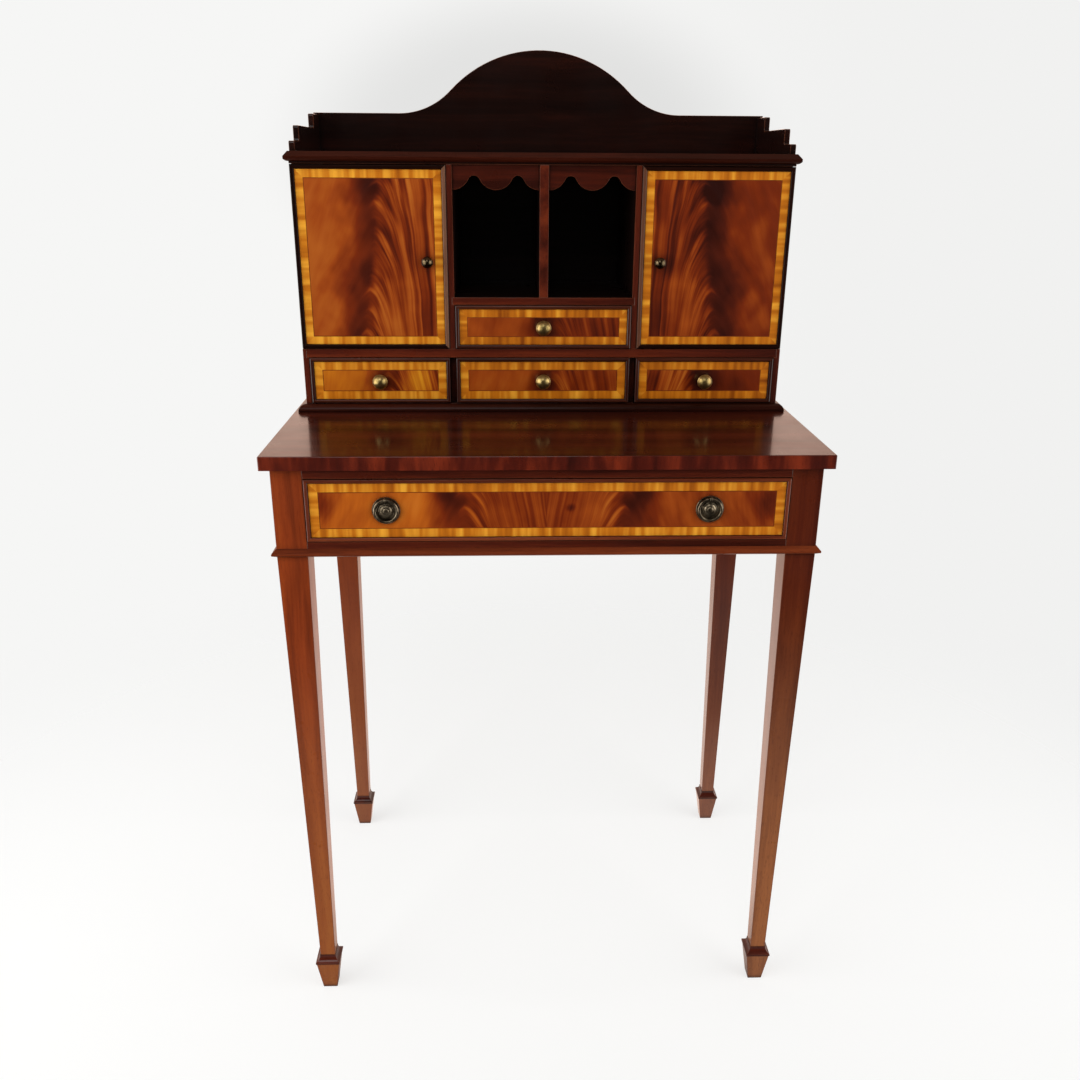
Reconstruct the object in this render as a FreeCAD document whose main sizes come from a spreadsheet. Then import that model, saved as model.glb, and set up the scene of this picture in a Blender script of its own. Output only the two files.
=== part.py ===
"""A bonheur du jour: a lady's writing table with one long drawer and a cabinet standing on its back half.

The table has four tapered legs on spade feet. The cabinet holds two cupboards, two pigeonholes, four
small drawers and a low gallery with an arched back. Lengths are millimetres, +Z is up, the front faces
-Y and the origin lies on the floor under the middle of the table.
"""
import FreeCAD, Part
import math
import os

import Sketcher

Vector = FreeCAD.Vector

# Each row is one size of the piece: its name in the sheet, its value and what it measures.
SIZES = (
    ("top_width", 640, "writing top, left to right"),
    ("top_depth", 428, "writing top, front to back"),
    ("top_thickness", 16, "writing top"),
    ("writing_height", 760, "floor to the writing surface"),
    ("top_arris", 1.2, "rounding of the writing top's edges"),
    ("side_overhang", 9, "writing top beyond the legs, each side"),
    ("front_overhang", 13.5, "writing top beyond the legs, front and back"),
    ("leg_square", 35.5, "leg above the taper"),
    ("ankle_square", 19.6, "leg where it meets the spade foot"),
    ("apron_height", 106.5, "depth of the side and back rails"),
    ("rail_thickness", 18, "side and back rails"),
    ("drawer_rail_depth", 34, "front rails, front to back"),
    ("upper_rail_height", 13.5, "front rail above the long drawer"),
    ("lower_rail_height", 18, "front rail below the long drawer"),
    ("tenon_length", 18, "rail tenons in the legs"),
    ("tenon_thickness", 8, "side and back rail tenons"),
    ("tenon_setback", 5, "side and back rail tenons from the outer face"),
    ("tenon_shoulder", 10, "side and back rail tenons from the rail's edges"),
    ("front_tenon_shoulder", 3.5, "front rail tenons from the rail's faces"),
    ("front_tenon_setback", 8, "front rail tenons from the rail's front and back"),
    ("foot_height", 44, "floor to the widest part of the spade foot"),
    ("foot_base_square", 18.8, "spade foot on the floor"),
    ("foot_top_square", 30.6, "spade foot under its collar"),
    ("collar_square", 32, "collar moulding round the ankle"),
    ("collar_edge", 2.5, "straight edge of the collar"),
    ("collar_lip", 0.5, "top edge of the collar round the ankle"),
    ("collar_height", 12, "whole collar"),
    ("apron_bead_height", 10, "moulding along the bottom of the apron"),
    ("apron_bead_reach", 5.3, "how far that moulding stands out"),
    ("runner_width", 21, "drawer runner, from the guide inwards"),
    ("runner_thickness", 12, "drawer runner"),
    ("guide_height", 30, "drawer guide above the runner"),
    ("kicker_width", 32, "kicker above the drawer side"),
    ("stop_length", 40, "drawer stop block, left to right"),
    ("stop_width", 14, "drawer stop block, front to back"),
    ("stop_height", 4, "drawer stop block"),
    ("stop_spread", 150, "drawer stop block's middle from the centre line"),
    ("drawer_gap", 0.5, "drawer front to its opening, all round"),
    ("running_gap", 0.3, "between sliding faces that nearly touch"),
    ("kicker_gap", 2, "drawer side to the kicker"),
    ("drawer_back_room", 22.5, "space behind the closed long drawer"),
    ("drawer_front_thickness", 20, "long drawer front"),
    ("drawer_lap", 8, "wood of the long drawer's front over the ends of its sides"),
    ("drawer_side_thickness", 9, "long drawer sides and back"),
    ("drawer_bottom_thickness", 5, "long drawer bottom"),
    ("drawer_bottom_lift", 6, "long drawer bottom above the sides' lower edge"),
    ("groove_depth", 4, "groove that holds the long drawer's bottom"),
    ("bead_width", 4.6, "cockbead seen from the front"),
    ("bead_depth", 7, "cockbead let into the front"),
    ("bead_proud", 2, "cockbead standing out from the front"),
    ("bead_round", 1.6, "rounding of the cockbead's nose"),
    ("mitre_gap", 0.1, "glue line between mitred strips of cockbead"),
    ("pull_inset", 91, "ring pull's middle from the end of the drawer front"),
    ("plate_radius", 15.6, "ring pull's back plate"),
    ("plate_thickness", 1.2, "ring pull's back plate"),
    ("boss_radius", 9.2, "domed boss on the back plate"),
    ("boss_height", 5.2, "top of the boss above the drawer front"),
    ("ring_radius", 12.8, "pull ring, to the middle of its wire"),
    ("ring_wire", 1.8, "radius of the pull ring's wire"),
    ("ring_gap", 0.4, "pull ring to its back plate and eye"),
    ("eye_width", 3.2, "eye that the pull ring hangs in"),
    ("shank_radius", 2, "screwed shank of pulls and knobs"),
    ("fitting_gap", 0.05, "round shanks and pins in their holes"),
    ("nut_radius", 5, "nut inside the long drawer"),
    ("nut_thickness", 2.5, "nut inside the long drawer"),
    ("cabinet_side_inset", 15, "cabinet side from the end of the writing top"),
    ("cabinet_back_inset", 8, "cabinet back from the writing top's back edge"),
    ("cabinet_depth", 200, "cabinet, front to back"),
    ("case_side_thickness", 7.5, "cabinet sides"),
    ("case_back_thickness", 6, "cabinet back panel"),
    ("housing_depth", 3, "boards let into the cabinet sides and partitions"),
    ("base_thickness", 9.5, "cabinet bottom board"),
    ("base_bead_reach", 9.4, "base moulding at its foot"),
    ("base_bead_edge", 1.5, "upright edge at the foot of the base moulding"),
    ("base_bead_drop", 0.3, "base moulding below the top of the bottom board"),
    ("lower_row_height", 59, "openings of the lower row of drawers"),
    ("dust_board_thickness", 11, "board between the rows"),
    ("upper_row_height", 55, "opening of the upper middle drawer"),
    ("pigeonhole_floor_thickness", 9, "floor of the pigeonholes"),
    ("pigeonhole_height", 156, "pigeonholes, floor to the cabinet top"),
    ("case_top_thickness", 14, "cabinet top board"),
    ("middle_opening", 223, "opening between the partitions"),
    ("partition_thickness", 7, "upright partitions"),
    ("partition_setback", 6, "lower partitions behind the cabinet front"),
    ("divider_thickness", 11, "board between the pigeonholes"),
    ("valance_height", 28.8, "pigeonhole valance at its lobes"),
    ("valance_thickness", 6, "pigeonhole valance"),
    ("valance_setback", 2, "pigeonhole valance behind the cabinet front"),
    ("valance_rise", 16.5, "valance arches above its lobes"),
    ("arch_radius", 7.5, "valance arches"),
    ("cornice_drop", 2.5, "cornice moulding above the top board's underside"),
    ("cornice_height", 11.5, "cornice moulding"),
    ("cornice_reach", 5.5, "how far the cornice moulding stands out"),
    ("gallery_thickness", 7, "gallery boards"),
    ("gallery_setback", 9, "gallery sides behind the cabinet front"),
    ("gallery_back_thickness", 8, "arched back board of the gallery"),
    ("gallery_height", 50, "straight part of the gallery back"),
    ("gallery_low_step", 11.5, "gallery side, lowest step"),
    ("gallery_middle_step", 29.5, "gallery side, middle step"),
    ("gallery_high_step", 47, "gallery side, highest step"),
    ("gallery_middle_start", 33, "middle step behind the gallery's front end"),
    ("gallery_high_start", 141, "highest step behind the gallery's front end"),
    ("step_round", 3, "rounding of the gallery steps"),
    ("arch_half_width", 190, "arched crown, centre line to where it starts"),
    ("crown_radius", 170, "arched crown at its top"),
    ("crown_rise", 78.5, "arched crown above the straight part"),
    ("door_thickness", 14, "cupboard doors"),
    ("door_gap", 0.5, "door to what surrounds it"),
    ("door_bead_width", 5, "cockbead of the doors"),
    ("door_stop_size", 10, "stop block behind each door"),
    ("hinge_length", 30, "butt hinges"),
    ("hinge_inset", 26, "butt hinges from the door's ends"),
    ("leaf_thickness", 1, "hinge leaves"),
    ("frame_leaf_width", 4.6, "flat part of the hinge leaf on the cabinet side"),
    ("door_leaf_width", 12.6, "flat part of the hinge leaf on the door"),
    ("knuckle_radius", 2.1, "hinge knuckles"),
    ("knuckle_offset", 0.4, "hinge pin outside the cabinet side"),
    ("knuckle_gap", 0.2, "round the hinge knuckles and between them"),
    ("pin_radius", 1, "hinge pins"),
    ("small_front_thickness", 12, "small drawer fronts"),
    ("small_side_thickness", 6, "small drawer sides and backs"),
    ("small_bottom_thickness", 3.5, "small drawer bottoms"),
    ("small_bottom_lift", 3, "small drawer bottoms above the sides' lower edge"),
    ("small_groove_depth", 3, "groove that holds a small drawer's bottom"),
    ("small_side_drop", 6, "small drawer sides below the front's upper edge"),
    ("knob_radius", 9.6, "brass knobs of the small drawers"),
    ("knob_reach", 17, "brass knobs, front to back"),
    ("door_knob_radius", 7, "bronze knobs of the doors"),
    ("door_knob_reach", 14, "bronze knobs, front to back"),
    ("door_knob_inset", 24.5, "door knob's middle from the closing edge"),
    ("door_knob_drop", 3, "door knob below the middle of its door"),
    ("shank_length", 7, "knob shank in the wood"),
)


class Size:
    """A length that carries its number together with the sheet expression that gives it."""

    def __init__(self, number, text):
        self.number = float(number)
        self.text = text

    @staticmethod
    def of(value):
        return value if isinstance(value, Size) else Size(value, repr(float(value)))

    def __add__(self, other):
        other = Size.of(other)
        return Size(self.number + other.number, f"({self.text} + {other.text})")

    def __sub__(self, other):
        other = Size.of(other)
        return Size(self.number - other.number, f"({self.text} - {other.text})")

    def __mul__(self, other):
        other = Size.of(other)
        return Size(self.number * other.number, f"({self.text} * {other.text})")

    def __truediv__(self, other):
        other = Size.of(other)
        return Size(self.number / other.number, f"({self.text} / {other.text})")

    def __radd__(self, other):
        return Size.of(other) + self

    def __rsub__(self, other):
        return Size.of(other) - self

    def __rmul__(self, other):
        return Size.of(other) * self

    def __neg__(self):
        return Size(-self.number, f"(-1 * {self.text})")

    def root(self):
        return Size(math.sqrt(self.number), f"sqrt({self.text})")


class Sheet:
    """The driving sizes, each read as an attribute that is a Size."""

    def __init__(self, document, rows):
        self.cells = document.addObject("Spreadsheet::Sheet", "Sizes")
        self.names = set()
        for row, (name, value, meaning) in enumerate(rows, start=1):
            self.cells.set(f"A{row}", meaning)
            self.cells.set(f"B{row}", str(value))
            self.cells.setAlias(f"B{row}", name)
            self.names.add(name)
        document.recompute()

    def __getattr__(self, name):
        if name in ("cells", "names") or name not in self.names:
            raise AttributeError(name)
        return Size(getattr(self.cells, name), f"Sizes.{name}")


DOCUMENT = FreeCAD.newDocument("BonheurDuJour")
S = Sheet(DOCUMENT, SIZES)
NODES = []
ORIGIN = (0, 0, 0)
NO_TURN = FreeCAD.Rotation()
ALONG_X = FreeCAD.Rotation(Vector(0, 0, 1), Vector(1, 0, 0))
TURN_45 = FreeCAD.Rotation(Vector(0, 0, 1), 45)
OUTWARDS = FreeCAD.Rotation(Vector(1, 0, 0), 90)
INWARDS = FreeCAD.Rotation(Vector(1, 0, 0), -90)
SIDES = (("left", -1), ("right", 1))
ENDS = (("front", -1), ("back", 1))
CUT_MARGIN = 2.0


# ---------------------------------------------------------------- helpers

def bind(thing, name, value):
    """Sets a length of a document object from a Size."""
    value = Size.of(value)
    setattr(thing, name, value.number)
    thing.setExpression(name, value.text)


def place(thing, position, turn=NO_TURN):
    """Puts a document object at a position made of Sizes."""
    position = [Size.of(value) for value in position]
    thing.Placement = FreeCAD.Placement(Vector(*[value.number for value in position]), turn)
    for axis, value in zip("xyz", position):
        thing.setExpression(f"Placement.Base.{axis}", value.text)


def new_body(label, position=ORIGIN, turn=NO_TURN):
    """Starts a sub-part as a body of its own."""
    body = DOCUMENT.addObject("PartDesign::Body", label)
    body.Label = label
    place(body, position, turn)
    return body


def keep(thing, label=None):
    """Marks an object as a finished sub-part, to be written under its label."""
    if label:
        thing.Label = label
    NODES.append(thing)
    return thing


def keep_group(label, bodies):
    """Makes one sub-part of several separate solids that are alike or fixed as a set."""
    group = DOCUMENT.addObject("Part::Compound", label)
    group.Links = bodies
    return keep(group, label)


def block(body, low, size, cut=False, turn=NO_TURN):
    """Adds or cuts a rectangular block, from its low corner and its three lengths."""
    kind = "PartDesign::SubtractiveBox" if cut else "PartDesign::AdditiveBox"
    box = body.newObject(kind, "Block")
    for name, value in zip(("Length", "Width", "Height"), size):
        bind(box, name, value)
    place(box, low, turn)
    return box


def rod(body, start, radius, length, turn=NO_TURN, cut=False):
    """Adds or cuts a round rod, from the middle of one end."""
    kind = "PartDesign::SubtractiveCylinder" if cut else "PartDesign::AdditiveCylinder"
    cylinder = body.newObject(kind, "Rod")
    bind(cylinder, "Radius", radius)
    bind(cylinder, "Height", length)
    place(cylinder, start, turn)
    return cylinder


def span(side, near, far):
    """The low end and the length of a stretch between two distances from the centre line."""
    near = Size.of(near)
    far = Size.of(far)
    low = near if side > 0 else -far
    return low, far - near


def arc_centre(start, end, radius, side):
    """The middle of an arc; side is +1 when it lies left of the way from start to end."""
    chord = end - start
    rise = math.sqrt(max(radius ** 2 - chord.Length ** 2 / 4, 0))
    left = Vector(-chord.y, chord.x, 0).normalize()
    return start + chord * 0.5 + left * (rise * side)


def outline(body, role, corners, lift=None):
    """Draws a closed outline on one of the body's own planes.

    Each corner is (x, y) for a straight edge to the next corner, or (x, y, radius, side) for an arc.
    """
    sketch = body.newObject("Sketcher::SketchObject", "Outline")
    plane = [item for item in body.Origin.OriginFeatures if item.Role == role][0]
    sketch.AttachmentSupport = [(plane, "")]
    sketch.MapMode = "FlatFace"
    if lift is not None:
        lift = Size.of(lift)
        sketch.AttachmentOffset = FreeCAD.Placement(Vector(0, 0, lift.number), NO_TURN)
        sketch.setExpression("AttachmentOffset.Base.z", lift.text)
    corners = [tuple(Size.of(value) for value in corner) for corner in corners]
    points = [Vector(corner[0].number, corner[1].number, 0) for corner in corners]
    ends = []
    for index, corner in enumerate(corners):
        start, end = points[index], points[(index + 1) % len(points)]
        if len(corner) == 2:
            edge = sketch.addGeometry(Part.LineSegment(start, end))
            ends.append((edge, 1, 2))
            continue
        side = round(corner[3].number)
        middle = arc_centre(start, end, corner[2].number, side)
        first, last = (start, end) if side > 0 else (end, start)
        angles = [math.atan2(point.y - middle.y, point.x - middle.x) for point in (first, last)]
        circle = Part.Circle(middle, Vector(0, 0, 1), corner[2].number)
        edge = sketch.addGeometry(Part.ArcOfCircle(circle, angles[0], angles[1]))
        ends.append((edge, 1, 2) if side > 0 else (edge, 2, 1))
    for index, (edge, _, finish) in enumerate(ends):
        following, begin, _ = ends[(index + 1) % len(ends)]
        sketch.addConstraint(Sketcher.Constraint("Coincident", edge, finish, following, begin))
    for index, (edge, begin, _) in enumerate(ends):
        corner = corners[index]
        for kind, value in zip(("DistanceX", "DistanceY"), corner):
            number = sketch.addConstraint(Sketcher.Constraint(kind, -1, 1, edge, begin, value.number))
            sketch.setExpression(f"Constraints[{number}]", value.text)
        if len(corner) > 2:
            number = sketch.addConstraint(Sketcher.Constraint("Radius", edge, corner[2].number))
            sketch.setExpression(f"Constraints[{number}]", corner[2].text)
    return sketch


def pad(body, sketch, length, backwards=False):
    """Gives an outline its thickness."""
    feature = body.newObject("PartDesign::Pad", "Pad")
    feature.Profile = sketch
    bind(feature, "Length", length)
    feature.Reversed = backwards
    return feature


def revolve(body, sketch):
    """Turns an outline once round its own upright axis."""
    feature = body.newObject("PartDesign::Revolution", "Turning")
    feature.Profile = sketch
    feature.ReferenceAxis = (sketch, ["V_Axis"])
    feature.Angle = 360
    return feature


def square(body, half, lift):
    """Draws a square round the body's upright axis."""
    return outline(body, "XY_Plane", ((-half, -half), (half, -half), (half, half), (-half, half)), lift)


def loft(body, lower, upper):
    """Joins two outlines with flat faces."""
    feature = body.newObject("PartDesign::AdditiveLoft", "Taper")
    feature.Profile = lower
    feature.Sections = [upper]
    feature.Ruled = True
    return feature


def ease(body, radius, wanted):
    """Rounds the edges of a body that a test picks out."""
    DOCUMENT.recompute()
    base = body.Tip
    names = [f"Edge{index}" for index, edge in enumerate(base.Shape.Edges, start=1) if wanted(edge)]
    feature = body.newObject("PartDesign::Fillet", "Ease")
    feature.Base = (base, names)
    bind(feature, "Radius", radius)
    return feature


def mitred_length(name, profile, run, reach, position, angle, mitres=(True, True)):
    """Makes one straight length of a moulding, mitred at the ends that ask for it.

    The length runs along its own X axis and the profile holds corners (across, up), with up from 0.
    The mitres stand at 45 degrees and meet the line across = 0 at the two ends of the run.
    """
    body = new_body(name, position, FreeCAD.Rotation(Vector(0, 0, 1), angle))
    spare = reach + CUT_MARGIN
    start, finish = [spare if mitre else Size.of(0) for mitre in mitres]
    pad(body, outline(body, "YZ_Plane", profile, -start), start + run + finish)
    if mitres[0]:
        block(body, (-spare, -spare, -spare), (4 * spare, 2 * spare, 4 * spare), cut=True, turn=TURN_45)
    if mitres[1]:
        block(body, (run + spare, -spare, -spare), (2 * spare, 4 * spare, 4 * spare), cut=True, turn=TURN_45)
    return body


def three_sided(label, profile, reach, half, front, back, bottom):
    """Runs a moulding along the front and both sides of something, mitred at the front corners."""
    deep = back - front
    keep_group(label, [
        mitred_length("Front", profile, 2 * half, reach, (-half, front, bottom), 0),
        mitred_length("Right", profile, deep, reach, (half, front, bottom), 90, (True, False)),
        mitred_length("Left", profile, deep, reach, (-half, back, bottom), -90, (False, True)),
    ])


def bead_strip(corners, front):
    """One strip of cockbead: mitred ends, a rounded nose, let into its board from the front."""
    body = new_body("Bead", (0, front - S.bead_proud, 0))
    pad(body, outline(body, "XZ_Plane", corners), S.bead_depth + S.bead_proud, backwards=True)
    mitre = math.dist([value.number for value in corners[1]], [value.number for value in corners[2]])
    ease(body, S.bead_round, lambda edge: edge.BoundBox.YMax < 0.01 and edge.Length > mitre + 0.1)
    return body


def cockbead(left, right, bottom, top, width, front):
    """Four mitred strips of cockbead round the edge of a drawer front or door."""
    gap = S.mitre_gap / 2
    strips = []
    for outer, inner in ((bottom, bottom + width), (top, top - width)):
        corners = (
            (left + gap, outer),
            (right - gap, outer),
            (right - width - gap, inner),
            (left + width + gap, inner),
        )
        strips.append(bead_strip(corners, front))
    for outer, inner in ((left, left + width), (right, right - width)):
        corners = (
            (outer, bottom + gap),
            (outer, top - gap),
            (inner, top - width - gap),
            (inner, bottom + width + gap),
        )
        strips.append(bead_strip(corners, front))
    return strips


def beaded_board(name, left, right, bottom, top, thickness, bead, front):
    """A board whose front edges are cut back on all four sides for its cockbead."""
    body = new_body(name)
    block(body, (left, front, bottom), (right - left, thickness, top - bottom))
    wide = right - left
    tall = top - bottom
    block(body, (left, front, bottom), (wide, S.bead_depth, bead), cut=True)
    block(body, (left, front, top - bead), (wide, S.bead_depth, bead), cut=True)
    block(body, (left, front, bottom), (bead, S.bead_depth, tall), cut=True)
    block(body, (right - bead, front, bottom), (bead, S.bead_depth, tall), cut=True)
    return body


def turned_knob(label, radius, reach, position):
    """A turned knob: a screwed shank, a foot, a waist and a domed head."""
    body = new_body(label, position, OUTWARDS)
    foot = radius * 0.62
    waist = radius * 0.45
    neck = reach * 0.3
    brim = reach * 0.62
    dome = reach - brim
    cap = (radius * radius + dome * dome) / (2 * dome)
    profile = (
        (0, -S.shank_length),
        (S.shank_radius, -S.shank_length),
        (S.shank_radius, 0),
        (foot, 0),
        (foot, reach * 0.08, neck - reach * 0.08, -1),
        (waist, neck, radius, 1),
        (radius, brim, cap, 1),
        (0, reach),
    )
    revolve(body, outline(body, "XZ_Plane", profile))
    keep(body)


# ---------------------------------------------------------------- places that several pieces share

HALF_TOP = S.top_width / 2
TABLE_FRONT = -S.top_depth / 2
FRAME_HALF = HALF_TOP - S.side_overhang
FRAME_FRONT = TABLE_FRONT + S.front_overhang
FRAME_BACK = -FRAME_FRONT
TOP_UNDERSIDE = S.writing_height - S.top_thickness
APRON_BOTTOM = TOP_UNDERSIDE - S.apron_height
LEG_INSIDE = FRAME_HALF - S.leg_square
LEG_DEPTH_INSIDE = FRAME_BACK - S.leg_square
LEG_CENTRE_X = FRAME_HALF - S.leg_square / 2
LEG_CENTRE_Y = FRAME_BACK - S.leg_square / 2
OPENING_BOTTOM = APRON_BOTTOM + S.lower_rail_height
OPENING_TOP = TOP_UNDERSIDE - S.upper_rail_height
RAIL_INSIDE = FRAME_HALF - S.rail_thickness
DRAWER_FRONT = FRAME_FRONT + S.drawer_gap
DRAWER_HALF = LEG_INSIDE - S.drawer_gap
DRAWER_BACK = FRAME_BACK - S.rail_thickness - S.drawer_back_room
DRAWER_FLOOR = OPENING_BOTTOM + S.running_gap
DRAWER_BOTTOM_TOP = DRAWER_FLOOR + S.drawer_bottom_lift + S.drawer_bottom_thickness
DRAWER_SIDE_TOP = OPENING_TOP - S.kicker_gap

CASE_HALF = HALF_TOP - S.cabinet_side_inset
CASE_BACK = S.top_depth / 2 - S.cabinet_back_inset
CASE_FRONT = CASE_BACK - S.cabinet_depth
CASE_INSIDE = CASE_HALF - S.case_side_thickness
PANEL_FRONT = CASE_BACK - S.case_back_thickness
CASE_BOTTOM = S.writing_height
LOWER_ROW = CASE_BOTTOM + S.base_thickness
DUST_BOARD = LOWER_ROW + S.lower_row_height
UPPER_ROW = DUST_BOARD + S.dust_board_thickness
SHELF = UPPER_ROW + S.upper_row_height
PIGEONHOLES = SHELF + S.pigeonhole_floor_thickness
CASE_TOP = PIGEONHOLES + S.pigeonhole_height
GALLERY = CASE_TOP + S.case_top_thickness
MIDDLE_HALF = S.middle_opening / 2
PARTITION_OUTSIDE = MIDDLE_HALF + S.partition_thickness

DOOR_BACK = CASE_FRONT + S.door_thickness
DOOR_SEAT = DOOR_BACK + S.door_gap
DOOR_OUTSIDE = CASE_HALF - S.door_gap
DOOR_INSIDE = PARTITION_OUTSIDE + S.door_gap
DOOR_BOTTOM = UPPER_ROW + S.door_gap
DOOR_TOP = CASE_TOP - S.door_gap
DOOR_MIDDLE = (DOOR_BOTTOM + DOOR_TOP) / 2
HINGE_X = CASE_HALF + S.knuckle_offset
HINGE_Y = DOOR_BACK + S.door_gap / 2
KNUCKLE_ROOM = S.knuckle_radius + S.knuckle_gap
HINGE_BOTTOMS = (DOOR_BOTTOM + S.hinge_inset, DOOR_TOP - S.hinge_inset - S.hinge_length)

RING_OUT = S.plate_thickness + S.ring_gap + S.ring_wire
PULL_X = DRAWER_HALF - S.pull_inset
PULL_HEIGHT = (OPENING_BOTTOM + OPENING_TOP) / 2


# ---------------------------------------------------------------- table

def writing_top():
    """The writing top, one board with softened edges."""
    body = new_body("writing_top")
    block(body, (-HALF_TOP, TABLE_FRONT, TOP_UNDERSIDE), (S.top_width, S.top_depth, S.top_thickness))
    level = TOP_UNDERSIDE.number
    ease(body, S.top_arris, lambda edge: edge.BoundBox.ZMax > level + 0.1)
    keep(body)


def leg_mortises(body, side, end):
    """Cuts the mortises of the rails that meet in one leg, which stands on its own axis."""
    half = S.leg_square / 2
    length = S.tenon_length
    tall = S.apron_height - 2 * S.tenon_shoulder
    foot = APRON_BOTTOM + S.tenon_shoulder
    outer, thick = span(side, half - S.tenon_setback - S.tenon_thickness, half - S.tenon_setback)
    near, deep = span(end, -half, length - half)
    block(body, (outer, near, foot), (thick, deep, tall), cut=True)
    inner, reach = span(side, -half, length - half)
    if end > 0:
        back = half - S.tenon_setback - S.tenon_thickness
        block(body, (inner, back, foot), (reach, S.tenon_thickness, tall), cut=True)
        return
    width = S.drawer_rail_depth - 2 * S.front_tenon_setback
    for bottom, height in ((APRON_BOTTOM, S.lower_rail_height), (OPENING_TOP, S.upper_rail_height)):
        low = (inner, S.front_tenon_setback - half, bottom + S.front_tenon_shoulder)
        block(body, low, (reach, width, height - 2 * S.front_tenon_shoulder), cut=True)


def leg_taper(body):
    """The tapered shaft of a leg, from the spade foot up to the apron."""
    ankle = square(body, S.ankle_square / 2, S.foot_height)
    loft(body, ankle, square(body, S.leg_square / 2, APRON_BOTTOM))


def leg(label, side, end):
    """One leg: a square head, a taper on all four faces and a spade foot."""
    body = new_body(label, (side * LEG_CENTRE_X, end * LEG_CENTRE_Y, 0))
    loft(body, square(body, S.foot_base_square / 2, 0), square(body, S.foot_top_square / 2, S.foot_height))
    leg_taper(body)
    pad(body, square(body, S.leg_square / 2, APRON_BOTTOM), S.apron_height)
    leg_mortises(body, side, end)
    keep(body)


def collar_run(name, corners, angle):
    """The collar's section run straight through the ankle, front to back or side to side."""
    body = new_body(name, turn=FreeCAD.Rotation(Vector(0, 0, 1), angle))
    pad(body, outline(body, "XZ_Plane", corners, -S.collar_square / 2), S.collar_square)
    return body


def toe_collar(corners, position):
    """One collar: its section run both ways across the ankle, less the leg inside it."""
    ankle = new_body("Ankle")
    leg_taper(ankle)
    crossing = DOCUMENT.addObject("Part::Common", "CollarCrossing")
    crossing.Base = collar_run("CollarAcross", corners, 0)
    crossing.Tool = collar_run("CollarAlong", corners, 90)
    collar = DOCUMENT.addObject("Part::Cut", "Collar")
    collar.Base = crossing
    collar.Tool = ankle
    place(collar, position)
    return collar


def toe_collars():
    """The coved collars, one round each ankle on top of its spade foot."""
    half = S.collar_square / 2
    slope = (S.leg_square - S.ankle_square) / 2 / (APRON_BOTTOM - S.foot_height)
    neck = S.ankle_square / 2 + slope * S.collar_height + S.collar_lip
    edge = S.foot_height + S.collar_edge
    top = S.foot_height + S.collar_height
    cove = S.collar_height - S.collar_edge
    corners = (
        (-half, S.foot_height),
        (half, S.foot_height),
        (half, edge, cove, -1),
        (neck, top),
        (-neck, top, cove, -1),
        (-half, edge),
    )
    keep_group("toe_collars", [
        toe_collar(corners, (side * LEG_CENTRE_X, end * LEG_CENTRE_Y, 0))
        for _, side in SIDES for _, end in ENDS
    ])


def side_rail(label, side):
    """One side rail with a tenon at each end."""
    body = new_body(label)
    low, wide = span(side, RAIL_INSIDE, FRAME_HALF)
    block(body, (low, -LEG_DEPTH_INSIDE, APRON_BOTTOM), (wide, 2 * LEG_DEPTH_INSIDE, S.apron_height))
    outer = FRAME_HALF - S.tenon_setback
    low, wide = span(side, outer - S.tenon_thickness, outer)
    reach = LEG_DEPTH_INSIDE + S.tenon_length
    tall = S.apron_height - 2 * S.tenon_shoulder
    block(body, (low, -reach, APRON_BOTTOM + S.tenon_shoulder), (wide, 2 * reach, tall))
    keep(body)


def back_rail():
    """The back rail with a tenon at each end."""
    body = new_body("back_rail")
    low = (-LEG_INSIDE, FRAME_BACK - S.rail_thickness, APRON_BOTTOM)
    block(body, low, (2 * LEG_INSIDE, S.rail_thickness, S.apron_height))
    reach = LEG_INSIDE + S.tenon_length
    low = (-reach, FRAME_BACK - S.tenon_setback - S.tenon_thickness, APRON_BOTTOM + S.tenon_shoulder)
    block(body, low, (2 * reach, S.tenon_thickness, S.apron_height - 2 * S.tenon_shoulder))
    keep(body)


def front_rail(label, bottom, height):
    """One of the two front rails that frame the long drawer."""
    body = new_body(label)
    block(body, (-LEG_INSIDE, FRAME_FRONT, bottom), (2 * LEG_INSIDE, S.drawer_rail_depth, height))
    reach = LEG_INSIDE + S.tenon_length
    low = (-reach, FRAME_FRONT + S.front_tenon_setback, bottom + S.front_tenon_shoulder)
    width = S.drawer_rail_depth - 2 * S.front_tenon_setback
    block(body, low, (2 * reach, width, height - 2 * S.front_tenon_shoulder))
    keep(body)


def apron_moulding():
    """The moulding under the apron: a slanting top, a round nose and a short return underneath."""
    height = S.apron_bead_height
    reach = S.apron_bead_reach
    nose = height * 0.3
    lip = reach * 0.9
    profile = (
        (0, 0),
        (0, height),
        (-lip, height / 4 + nose, nose * 0.8, 1),
        (-lip, height / 4),
    )
    three_sided("apron_moulding", profile, reach, FRAME_HALF, FRAME_FRONT, FRAME_BACK, APRON_BOTTOM)


def drawer_runners():
    """A runner under each side of the long drawer, and a guide beside it."""
    strips = []
    bottom = OPENING_BOTTOM - S.runner_thickness
    start = FRAME_FRONT + S.drawer_rail_depth
    length = FRAME_BACK - S.rail_thickness - start
    for name, side in SIDES:
        runner = new_body(f"Runner_{name}")
        low, wide = span(side, LEG_INSIDE - S.runner_width, LEG_INSIDE)
        block(runner, (low, start, bottom), (wide, length, S.runner_thickness))
        guide = new_body(f"Guide_{name}")
        low, wide = span(side, LEG_INSIDE, RAIL_INSIDE)
        size = (wide, 2 * LEG_DEPTH_INSIDE, S.runner_thickness + S.guide_height)
        block(guide, (low, -LEG_DEPTH_INSIDE, bottom), size)
        strips += [runner, guide]
    keep_group("drawer_runners", strips)


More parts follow.
